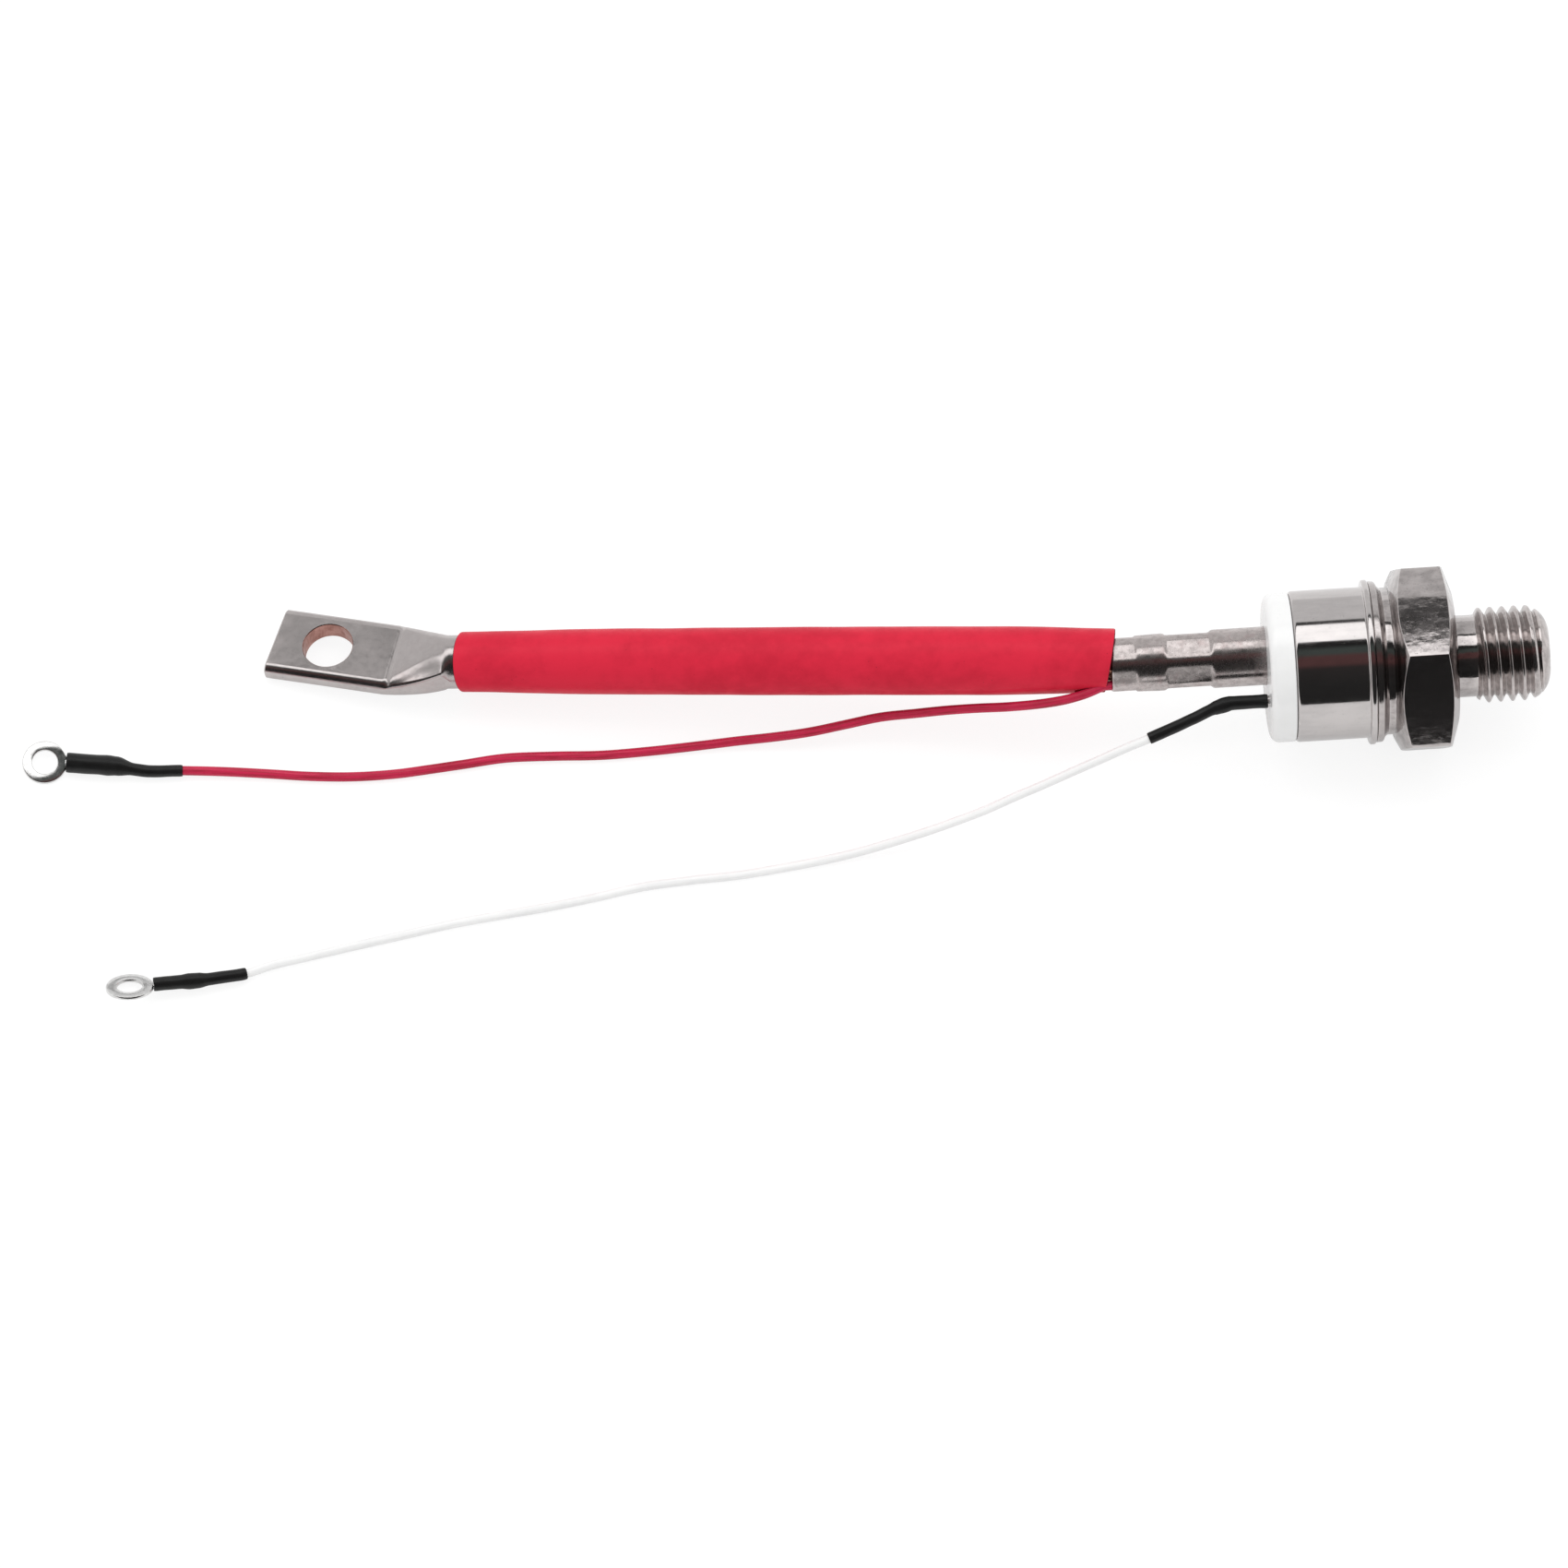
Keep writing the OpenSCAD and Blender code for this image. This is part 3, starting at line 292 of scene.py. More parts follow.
@dataclass
class Skin:
    """Skin made of rings of points, each ring extruded from the one before.

    Its UV map holds the length along the rings in millimetres and the share of a turn.
    """

    rings: Sequence[Ring]
    joined: bool = False
    rows: list[list[bmesh.types.BMVert]] = field(default_factory=list)

    def build(self) -> Mesh:
        """Extrudes the rings.

        Returns:
            A closed mesh. Its last ring is bridged to the first one where joined is set, and
            otherwise both end rings get a face.
        """
        bm = bmesh.new()
        count = len(self.rings[0])
        row = list(bmesh.ops.create_circle(bm, segments=count, radius=1, cap_ends=False)["verts"])
        edges = list(bm.edges)
        self.rows = [row]
        for _ in self.rings[1:]:
            made = bmesh.ops.extrude_edge_only(bm, edges=edges)["geom"]
            fresh = {g for g in made if isinstance(g, bmesh.types.BMVert)}
            edges = [
                g for g in made if isinstance(g, bmesh.types.BMEdge) and fresh.issuperset(g.verts)
            ]
            row = [
                next(e.other_vert(v) for e in v.link_edges if e.other_vert(v) in fresh)
                for v in row
            ]
            self.rows.append(row)
        for row, ring in zip(self.rows, self.rings):
            for vert, place in zip(row, ring):
                vert.co = place
        if self.joined:
            loops = self.row_edges(0) + self.row_edges(len(self.rows) - 1)
            bmesh.ops.bridge_loops(bm, edges=loops)
        else:
            for row in (self.rows[0], self.rows[-1]):
                bmesh.ops.contextual_create(bm, geom=list(row))
        self.lay_out(bm)
        return outward(bm)

    def row_edges(self, index: int) -> list[bmesh.types.BMEdge]:
        """Edges between neighbouring points of one ring."""
        row = self.rows[index]
        inside = set(row)
        edges = {e for v in row for e in v.link_edges if e.other_vert(v) in inside}
        return sorted(edges, key=lambda e: (e.verts[0].index, e.verts[1].index))

    def lay_out(self, bm: Mesh) -> None:
        """Writes the UV map."""
        uv = bm.loops.layers.uv.new("UVMap")
        middles = [sum(ring, Vector()) / len(ring) for ring in self.rings]
        length, place = 0.0, {}
        for i, row in enumerate(self.rows):
            if i:
                length += (middles[i] - middles[i - 1]).length
            for k, vert in enumerate(row):
                place[vert] = (length, k / len(row))
        for face in bm.faces:
            wraps = max(place[loop.vert][1] for loop in face.loops) > 1 - SEAM
            for loop in face.loops:
                along, share = place[loop.vert]
                loop[uv].uv = (along, 1.0 if wraps and share < SEAM else share)


def path_frames(path: Sequence[Vector]) -> list[Matrix]:
    """Frames along a path whose local Z follows it and whose X turns as little as it can.

    Args:
        path: Points of the path.

    Returns:
        One matrix for each point.
    """
    frames: list[Matrix] = []
    side = Vector((0, 1, 0))
    for i, p in enumerate(path):
        ahead = (path[min(i + 1, len(path) - 1)] - path[max(i - 1, 0)]).normalized()
        side = (side - side.dot(ahead) * ahead).normalized()
        turn = Matrix((side, ahead.cross(side), ahead)).transposed().to_4x4()
        frames.append(Matrix.Translation(p) @ turn)
    return frames


RadiusAt = Callable[[float, float], float]


def tube_rings(path: Sequence[Vector], radius: RadiusAt, sides: int) -> list[Ring]:
    """Rings about a path.

    Args:
        path: Points of the path.
        radius: Radius at a length along the path and an angle about it.
        sides: Points in each ring.

    Returns:
        One ring for each point of the path.
    """
    rings, length = [], 0.0
    for i, turn in enumerate(path_frames(path)):
        if i:
            length += (path[i] - path[i - 1]).length
        rings.append([turn @ polar(radius(length, a), a) for a in turns(sides)])
    return rings


def round_ring(r: float, h: float, sides: int) -> Ring:
    """Level circle of points about the Z axis."""
    return [polar(r, a, h) for a in turns(sides)]


def rounded(corners: Sequence[Point], closed: bool = False, step: float = 12) -> list[Pair]:
    """Outline with each corner rounded by its own radius.

    Args:
        corners: Each corner as (x, y, radius).
        closed: Whether the last corner joins the first.
        step: Largest turn in degrees between neighbouring points of a rounding.

    Returns:
        The (x, y) points of the outline.
    """
    outline: list[Pair] = []
    count = len(corners)
    for i, (x, y, r) in enumerate(corners):
        if r <= 0 or (not closed and i in (0, count - 1)):
            outline.append((x, y))
            continue
        here = Vector((x, y))
        before = (Vector(corners[i - 1][:2]) - here).normalized()
        after = (Vector(corners[(i + 1) % count][:2]) - here).normalized()
        half = before.angle(after) / 2
        middle = here + (before + after).normalized() * (r / math.sin(half))
        first = here + before * (r / math.tan(half)) - middle
        last = here + after * (r / math.tan(half)) - middle
        start = math.atan2(first.y, first.x)
        turn = (math.atan2(last.y, last.x) - start + math.pi) % (2 * math.pi) - math.pi
        steps = max(2, round(abs(math.degrees(turn)) / step))
        for k in range(steps + 1):
            a = start + turn * k / steps
            outline.append((middle.x + r * math.cos(a), middle.y + r * math.sin(a)))
    return outline


def lathe(profile: Sequence[Pair], closed: bool = True, steps: int = 128) -> Mesh:
    """Turns a profile about the Z axis.

    Args:
        profile: Points as (radius, height).
        closed: Whether the profile's end joins its start. An open one ends on the axis.
        steps: Faces round the turn.

    Returns:
        The closed mesh.
    """
    bm = bmesh.new()
    verts = [bm.verts.new((r, 0, h)) for r, h in profile]
    pairs = list(zip(verts, verts[1:])) + ([(verts[-1], verts[0])] if closed else [])
    edges = [bm.edges.new(pair) for pair in pairs]
    bmesh.ops.spin(
        bm, geom=verts + edges, cent=(0, 0, 0), axis=(0, 0, 1), dvec=(0, 0, 0),
        angle=2 * math.pi, steps=steps, use_merge=True, use_normal_flip=False, use_duplicate=False,
    )
    bmesh.ops.remove_doubles(bm, verts=list(bm.verts), dist=CLEAN)
    return outward(bm)


def drill(profile: Sequence[Point]) -> Mesh:
    """Tool of a round hole about the Z axis.

    Args:
        profile: Its side from the bottom to the top, as (radius, height, rounding).

    Returns:
        The closed mesh.
    """
    low, high = profile[0][1], profile[-1][1]
    return lathe(rounded([(0, low, 0), *profile, (0, high, 0)]), closed=False, steps=96)


def moved(bm: Mesh, matrix: Matrix) -> Mesh:
    """The mesh, after every point of it is moved by a matrix."""
    bmesh.ops.transform(bm, matrix=matrix, verts=list(bm.verts))
    return bm


def outward(bm: Mesh) -> Mesh:
    """The mesh, after its faces are turned to point out of it."""
    bmesh.ops.recalc_face_normals(bm, faces=list(bm.faces))
    return bm


def linked(name: str, data: bpy.types.ID) -> bpy.types.Object:
    """New object of a mesh, camera or lamp, linked to the scene."""
    result = bpy.data.objects.new(name, data)
    bpy.context.scene.collection.objects.link(result)
    return result


def shown(bm: Mesh, name: str, materials: Sequence[Optional[Material]]) -> bpy.types.Object:
    """Object of a mesh with its materials, linked to the scene. The mesh is freed."""
    mesh = bpy.data.meshes.new(name)
    bm.to_mesh(mesh)
    bm.free()
    for material in materials:
        mesh.materials.append(material)
    return linked(name, mesh)


def carve(body: Mesh, cutter: Mesh) -> Mesh:
    """Cuts one closed mesh out of another.

    Args:
        body: The mesh that is cut, which is freed.
        cutter: The mesh that is cut out, which is freed. The faces it leaves keep its
            material index.

    Returns:
        The cut mesh.
    """
    target, tool = shown(body, "carve_body", [None] * 2), shown(cutter, "carve_tool", [None] * 2)
    cut = target.modifiers.new("cut", "BOOLEAN")
    cut.object, cut.operation, cut.solver = tool, "DIFFERENCE", "EXACT"
    depsgraph = bpy.context.evaluated_depsgraph_get()
    mesh = bpy.data.meshes.new_from_object(target.evaluated_get(depsgraph))
    result = bmesh.new()
    result.from_mesh(mesh)
    bmesh.ops.remove_doubles(result, verts=list(result.verts), dist=CLEAN)
    bmesh.ops.dissolve_degenerate(result, dist=CLEAN, edges=list(result.edges))
    for scratch in (target, tool):
        data = scratch.data
        bpy.data.objects.remove(scratch)
        bpy.data.meshes.remove(data)
    bpy.data.meshes.remove(mesh)
    return result


def joined(meshes: Sequence[Mesh]) -> Mesh:
    """One mesh of several, which are freed."""
    result = bmesh.new()
    for bm in meshes:
        mesh = bpy.data.meshes.new("part_of_piece")
        bm.to_mesh(mesh)
        bm.free()
        result.from_mesh(mesh)
        bpy.data.meshes.remove(mesh)
    return result


def add_piece(
    bm: Mesh,
    name: str,
    matrix: Matrix,
    materials: Sequence[Material],
    node: str,
    sharp: float = 35,
    even: bool = False,
) -> bpy.types.Object:
    """Makes a finished piece of a mesh.

    Args:
        bm: The mesh, which is freed.
        name: Name of the piece.
        matrix: Matrix from the mesh's own millimetres to row metres.
        materials: Its finishes, in the order of the faces' material indices.
        node: CAD node that it stands for.
        sharp: Angle in degrees past which an edge stays sharp.
        even: Whether large faces keep their own shading next to narrow ones.

    Returns:
        The object, which sits at the origin and rides on the body.
    """
    limit = math.radians(sharp)
    for face in moved(bm, matrix).faces:
        face.smooth = True
    for edge in bm.edges:
        edge.smooth = len(edge.link_faces) == 2 and edge.calc_face_angle(0) < limit
    piece = shown(bm, name, materials)
    if even:
        shading = piece.modifiers.new("even shading", "WEIGHTED_NORMAL")
        shading.keep_sharp = True
    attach(piece, BODY)
    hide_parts(node)
    log.info("%s: %d faces", name, len(piece.data.polygons))
    return piece


# Finishes ---------------------------------------------------------------------------------


class Graph:
    """Adds shader nodes to one new material, or to the world's surroundings."""

    def __init__(self, name: str, kind: str = "materials") -> None:
        """Starts the node tree of a new material or world."""
        self.owner = getattr(bpy.data, kind).new(name)
        self.owner.use_nodes = True
        self.tree = self.owner.node_tree

    def add(
        self, kind: str, sockets: Optional[Mapping[Union[int, str], object]] = None,
        **settings: object
    ) -> bpy.types.Node:
        """New node of a kind.

        Args:
            kind: Blender's name of it, without the prefix.
            sockets: What its inputs take, by index or name.
            **settings: Its other settings.

        Returns:
            The node.
        """
        node = self.tree.nodes.new("ShaderNode" + kind)
        for key, value in settings.items():
            setattr(node, key, value)
        for key, value in (sockets or {}).items():
            self.put(node.inputs[key], value)
        return node

    def put(self, socket: Socket, value: object) -> None:
        """Links a value to a socket, or sets it there where it is a constant and not None."""
        if isinstance(value, bpy.types.NodeSocket):
            self.tree.links.new(value, socket)
        elif value is not None:
            is_colour = socket.type == "RGBA" and len(value) == 3
            socket.default_value = (*value, 1) if is_colour else value

    def place(self, stretch: Point = (1, 1, 1), middle: Point = (0, 0, 0)) -> Socket:
        """Object coordinates, moved by middle and stretched along each axis."""
        coordinates = self.add("TexCoord").outputs["Object"]
        if stretch == (1, 1, 1) and middle == (0, 0, 0):
            return coordinates
        sockets = {"Vector": coordinates, "Location": middle, "Scale": [1 / s for s in stretch]}
        return self.add("Mapping", sockets, vector_type="TEXTURE").outputs["Vector"]

    def surface(self, stretch: Point) -> Socket:
        """The piece's own UV map, stretched."""
        uv = self.add("UVMap", uv_map="UVMap").outputs["UV"]
        return self.add("Mapping", {"Vector": uv, "Scale": stretch}).outputs["Vector"]

    def noise(self, at: Socket, scale: float, detail: float = 4, rough: float = 0.55) -> Socket:
        """Smooth noise from 0 to 1."""
        sockets = {"Vector": at, "Scale": scale, "Detail": detail, "Roughness": rough}
        return self.add("TexNoise", sockets).outputs["Fac"]

    def cells(self, at: Socket, scale: float) -> Socket:
        """Distance to the nearest of randomly strewn points."""
        return self.add("TexVoronoi", {"Vector": at, "Scale": scale}).outputs["Distance"]

    def math(self, operation: str, a: Value, b: Value) -> Socket:
        """Result of a sum on two values."""
        return self.add("Math", {0: a, 1: b}, operation=operation).outputs["Value"]

    def times(self, a: Value, b: Value) -> Socket:
        """Product of two values."""
        return self.math("MULTIPLY", a, b)

    def plus(self, a: Value, b: Value) -> Socket:
        """Sum of two values."""
        return self.math("ADD", a, b)

    def weigh(self, a: Socket, share: float, b: Socket) -> Socket:
        """Sum of a times its share and b times the rest."""
        return self.plus(self.times(a, share), self.times(b, 1 - share))

    def span(
        self, value: Socket, low: float, high: float, first: Value = 0, last: Value = 1
    ) -> Socket:
        """Value taken from between low and high to between first and last, smoothly."""
        sockets = dict(enumerate((value, low, high, first, last)))
        return self.add("MapRange", sockets, interpolation_type="SMOOTHSTEP").outputs["Result"]

    def mix(self, share: Value, a: object, b: object) -> Socket:
        """Colour between a and b."""
        return self.add("Mix", {0: share, 6: a, 7: b}, data_type="RGBA").outputs[2]

    def bump(self, height: Socket, distance: float, normal: Optional[Socket] = None) -> Socket:
        """Normal of a surface raised by height times distance in metres."""
        sockets = {"Height": height, "Distance": distance, "Normal": normal}
        return self.add("Bump", sockets).outputs["Normal"]

    def axes(self, vector: Socket) -> tuple[Socket, Socket, Socket]:
        """X, Y and Z of a vector."""
        return tuple(self.add("SeparateXYZ", {0: vector}).outputs)

    def seen(self) -> Socket:
        """Share of a ray that shows the surroundings instead of lighting by them."""
        path = self.add("LightPath").outputs
        share = self.math("MAXIMUM", path["Is Camera Ray"], path["Is Glossy Ray"])
        return self.math("MAXIMUM", share, path["Is Transmission Ray"])

    def show(self, shader: Socket) -> Material:
        """Shows a shader on the surface, and gives the material."""
        self.put(self.tree.nodes["Material Output"].inputs["Surface"], shader)
        return self.owner

    def dress(self, **sockets: object) -> Material:
        """Sets the principled shader's sockets by name, with _ for a space."""
        shader = self.tree.nodes["Principled BSDF"]
        for key, value in sockets.items():
            self.put(shader.inputs[key.replace("_", " ")], value)
        return self.owner


@dataclass(frozen=True)
class Crown:
    """Slight crown of milled flats about the stud axis, which spreads what they mirror."""

    radius: float = 0.19
    tilt: float = -0.046
    bend: float = 0.085
    bend_from: float = 0.0026
    bend_width: float = 0.0014
    middle: Point = (0.0, -BENCH.centre_y / 1000, BENCH.axis_z / 1000)

    def height(self, g: Graph) -> Socket:
        """Height of the crown in metres, with the worn far strip of the upper flat."""
        _, y, z = g.axes(g.place(middle=self.middle))
        square = g.plus(g.times(y, y), g.times(z, z))
        crown = g.plus(g.times(square, -0.5 / self.radius), g.times(y, self.tilt))
        end = self.bend_from + self.bend_width
        turn = g.span(y, self.bend_from, end)
        worn = g.times(g.times(turn, turn), self.bend_width / 2)
        worn = g.plus(worn, g.math("MAXIMUM", g.math("SUBTRACT", y, end), 0.0))
        return g.math("SUBTRACT", crown, g.times(worn, self.bend))


@dataclass(frozen=True)
class Lean:
    """Lean of a bent ring towards its wire, which darkens what that side mirrors."""

    slope: float = 0.15
    skew: float = -0.25
    middle: Point = (-0.1448, -0.0020, 0.0)
    reach: Pair = (-0.0016, 0.0022)

    def height(self, g: Graph) -> Socket:
        """Height of the lean in metres."""
        x, y, _ = g.axes(g.place(middle=self.middle))
        share = g.span(g.plus(x, g.times(y, self.skew)), *self.reach)
        return g.times(g.times(y, share), self.slope)


PIT_COLOUR = (0.06, 0.055, 0.055)
PIT_DEPTH = 2.5e-6  # metres


@dataclass(frozen=True)
class Metal:
    """Plated or bare metal with a grain, soft blotches, small pits and worn edges."""

    name: str
    colour: Colour
    shade: Colour
    shine: float = 0.1
    dull: float = 0.25
    grain: float = 900
    stretch: Point = (1, 1, 1)
    relief: float = 2e-6
    blotch: float = 120
    pits: float = 0.0
    pit_size: float = 0.0003
    wave: float = 0.0
    wave_scale: float = 300
    crown: Optional[Union[Crown, Lean]] = None
    stain: Optional[Colour] = None
    mottled: Pair = (0.36, 0.62)
    shines: Pair = (0.3, 0.68)
    stained: tuple[float, ...] = (0.5, 0.75, 0, 0.6)
    worn: tuple[float, ...] = (0.51, 0.56, 0, 0.5)
    worn_gain: float = 1.25
    worn_most: float = 0.95
    pit_rim: tuple[float, ...] = (0.12, 0.3, 1, 0)
    pit_patches: Pair = (0.52, 0.62)
    patch_scale: float = 0.35

    def make(self) -> Material:
        """Makes the material."""
        g = Graph(self.name)
        at = g.place()
        grain = g.noise(g.place(self.stretch), self.grain, 6, 0.6)
        blotch = g.noise(at, self.blotch, 4, 0.6)
        mottle = g.weigh(grain, 0.45, blotch)
        colour = g.mix(g.span(mottle, *self.mottled), self.shade, self.colour)
        edge = g.span(g.add("NewGeometry").outputs["Pointiness"], *self.worn)
        worn = tuple(min(c * self.worn_gain, self.worn_most) for c in self.colour)
        colour = g.mix(edge, colour, worn)
        if self.stain:
            share = g.span(g.noise(at, self.blotch * 0.6, 3), *self.stained)
            colour = g.mix(share, colour, self.stain)
        rough = g.span(mottle, *self.shines, self.dull, self.shine)
        normal = None
        if self.crown:
            normal = g.bump(self.crown.height(g), 1.0)
        if self.wave:
            normal = g.bump(g.noise(at, self.wave_scale, 2, 0.4), self.wave, normal)
        if self.pits:
            pit = g.span(g.cells(at, 1 / self.pit_size), *self.pit_rim)
            patches = g.noise(at, self.patch_scale / self.pit_size, 2)
            pit = g.times(pit, g.span(patches, *self.pit_patches))
            colour = g.mix(g.times(pit, self.pits), colour, PIT_COLOUR)
            normal = g.bump(pit, -PIT_DEPTH, normal)
        normal = g.bump(grain, self.relief, normal)
        return g.dress(Base_Color=colour, Roughness=rough, Normal=normal, Metallic=1.0)


@dataclass(frozen=True)
class Plastic:
    """Insulation, shrink tube or moulded plastic with a faint grain and specks."""

    name: str
    colour: Colour
    deep: Colour
    rough: Pair = (0.35, 0.5)
    grain: float = 700
    relief: float = 4e-6
    specks: float = 0.0
    speck_colour: Colour = (0.02, 0.02, 0.02)
    streaks: float = 0.0
    gloss: float = 0.5
    coat: float = 0.0
    coat_rough: float = 0.12
    mottled: Pair = (0.34, 0.62)
    dulls: Pair = (0.3, 0.65)
    speck_scale: float = 1100
    speck_rim: tuple[float, ...] = (0.07, 0.13, 1, 0)
    patch_scale: float = 240
    patches: Pair = (0.58, 0.66)
    streak_stretch: Point = (0.09, 9, 1)
    streak_scale: float = 1.6

    def make(self) -> Material:
        """Makes the material."""
        g = Graph(self.name)
        at = g.place()
        fine, broad = g.noise(at, self.grain, 5, 0.6), g.noise(at, self.grain / 9, 3, 0.5)
        mottle = g.weigh(fine, 0.4, broad)
        if self.streaks:
            streak = g.noise(g.surface(self.streak_stretch), self.streak_scale, 3, 0.5)
            mottle = g.weigh(streak, self.streaks, mottle)
        colour = g.mix(g.span(mottle, *self.mottled), self.deep, self.colour)
        if self.specks:
            speck = g.span(g.cells(at, self.speck_scale), *self.speck_rim)
            rare = g.span(g.noise(at, self.patch_scale, 2), *self.patches, 0, self.specks)
            colour = g.mix(g.times(speck, rare), colour, self.speck_colour)
        return g.dress(
            Base_Color=colour,
            Roughness=g.span(mottle, *self.dulls, *self.rough[::-1]),
            Normal=g.bump(mottle, self.relief),
            Specular_IOR_Level=self.gloss,
            Coat_Weight=self.coat,
            Coat_Roughness=self.coat_rough,
        )


@dataclass(frozen=True)
class Braid:
    """Fine copper strands laid in a rope."""

    name: str
    colour: Colour = (0.72, 0.36, 0.25)
    shade: Colour = (0.32, 0.13, 0.08)
    rough: Pair = (0.5, 0.28)
    stretch: Point = (0.6, 1, 1)
    scale: float = 420
    wander: float = 1.5
    relief: float = 1.2e-4

    def make(self) -> Material:
        """Makes the material."""
        g = Graph(self.name)
        sockets = {"Vector": g.place(self.stretch), "Scale": self.scale, "Distortion": self.wander}
        wave = g.add("TexWave", sockets, wave_type="BANDS", bands_direction="DIAGONAL")
        strands = wave.outputs["Fac"]
        return g.dress(
            Base_Color=g.mix(strands, self.shade, self.colour),
            Roughness=g.span(strands, 0, 1, *self.rough),
            Normal=g.bump(strands, self.relief),
            Metallic=1.0,
        )


NICKEL = Metal(
    "turned nickel", (0.51, 0.478, 0.47), (0.41, 0.38, 0.374), dull=0.22, relief=1.5e-6, pits=0.35
)
NICKEL_FLATS = Metal(
    "milled nickel flats", (0.50, 0.465, 0.458), (0.31, 0.287, 0.283), shine=0.07, dull=0.14,
    stretch=(0.3, 1, 1), relief=9e-6, blotch=330, pits=0.7, pit_size=0.00032,
    wave=2.6e-5, wave_scale=620, crown=Crown(),
)
NICKEL_THREAD = Metal(
    "rolled nickel thread", (0.53, 0.488, 0.478), (0.38, 0.35, 0.342), shine=0.12, dull=0.26,
    grain=1200, relief=4e-6, blotch=500, pits=0.5, pit_size=0.00028, wave=1.2e-5, wave_scale=700,
)
CAN_PLATE = Metal(
    "smooth can plate", (0.56, 0.532, 0.525), (0.495, 0.47, 0.465), shine=0.06, dull=0.13,
    grain=700, stretch=(0.25, 1, 1), relief=8e-7, blotch=90, pits=0.25,
    wave=3e-6, wave_scale=420, stain=(0.45, 0.41, 0.41),
)
TIN_TUBE = Metal(
    "pressed tin plate", (0.54, 0.49, 0.48), (0.40, 0.36, 0.352), shine=0.2, dull=0.34,
    grain=1300, relief=7e-6, blotch=700, pits=0.7, wave=1.6e-5,
    wave_scale=800, stain=(0.44, 0.35, 0.345),
)
TIN_LUG = Metal(
    "smooth tin plate", (0.50, 0.465, 0.458), (0.455, 0.42, 0.414), shine=0.16, dull=0.28,
    grain=1000, relief=2.5e-6, blotch=150, pits=0.4, wave=6e-6,
    wave_scale=260, stain=(0.47, 0.40, 0.39),
)
TIN_RING = Metal(
    "stamped tin plate", (0.74, 0.735, 0.73), (0.62, 0.615, 0.61), shine=0.14, dull=0.26,
    grain=1500, relief=4e-6, blotch=600, pits=0.4,
)
BENT_RING = replace(TIN_RING, name="bent tin plate", crown=Lean())
BARE_COPPER = Metal(
    "cut copper", (0.50, 0.27, 0.23), (0.33, 0.15, 0.12), shine=0.25, dull=0.42,
    grain=1400, stretch=(1, 1, 0.2), relief=1e-5, blotch=700,
)
GLAZE = Plastic(
    "ceramic glaze", (0.88, 0.88, 0.877), (0.84, 0.84, 0.837), rough=(0.2, 0.3), grain=300,
    relief=2e-6, specks=0.25, speck_colour=(0.5, 0.5, 0.5), coat=0.2,
)
SLEEVE = Plastic(
    "red sleeve", (0.69, 0.021, 0.052), (0.57, 0.015, 0.040), rough=(0.36, 0.5), grain=420,
    relief=1.2e-5, specks=0.5, speck_colour=(0.12, 0.004, 0.012), gloss=0.12,
)
# Painted shade: the sleeve's cut end faces get a near-black red in place of the sleeve's own red,
# standing in for the shadow on the cut wall.
SLEEVE_CUT_PAINTED_SHADE = Plastic(
    "red sleeve painted shade on cut ends", (0.10, 0.004, 0.010), (0.05, 0.002, 0.006), rough=(0.5, 0.65), gloss=0.2
)
RED_WIRE = Plastic(
    "red wire", (0.58, 0.020, 0.075), (0.36, 0.010, 0.034), rough=(0.25, 0.4), grain=900,
    relief=8e-6, streaks=0.7, gloss=0.3,
)
WHITE_WIRE = Plastic(
    "white wire", (0.93, 0.93, 0.925), (0.85, 0.85, 0.85), grain=900, relief=6e-6, streaks=0.5
)
SHRINK = Plastic(
    "black shrink tube", (0.012, 0.012, 0.012), (0.005, 0.005, 0.005), rough=(0.32, 0.5),
    grain=900, relief=1.6e-5, streaks=0.4, gloss=0.3,
)
MOLYBDENUM = Metal(
    "lapped molybdenum", (0.42, 0.43, 0.45), (0.34, 0.35, 0.37), shine=0.2, dull=0.35, grain=1800
)
SILICON = Metal(
    "polished silicon", (0.17, 0.18, 0.20), (0.13, 0.14, 0.16), shine=0.05, dull=0.12,
    grain=400, relief=5e-7,
)
SPRING_STEEL = Metal(
    "spring steel", (0.40, 0.41, 0.43), (0.28, 0.29, 0.31), shine=0.2, dull=0.38, grain=1100,
    pits=0.4,
)
GOLD = Metal(
    "gold contact", (0.83, 0.64, 0.31), (0.66, 0.47, 0.2), shine=0.12, dull=0.24, grain=1500
)
INNER_PLASTIC = Plastic(
    "natural fluoropolymer", (0.82, 0.80, 0.74), (0.74, 0.71, 0.64), rough=(0.4, 0.55),
    grain=900, specks=0.2, speck_colour=(0.4, 0.37, 0.3),
)
ROPE = Braid("copper rope")


# Housing ----------------------------------------------------------------------------------


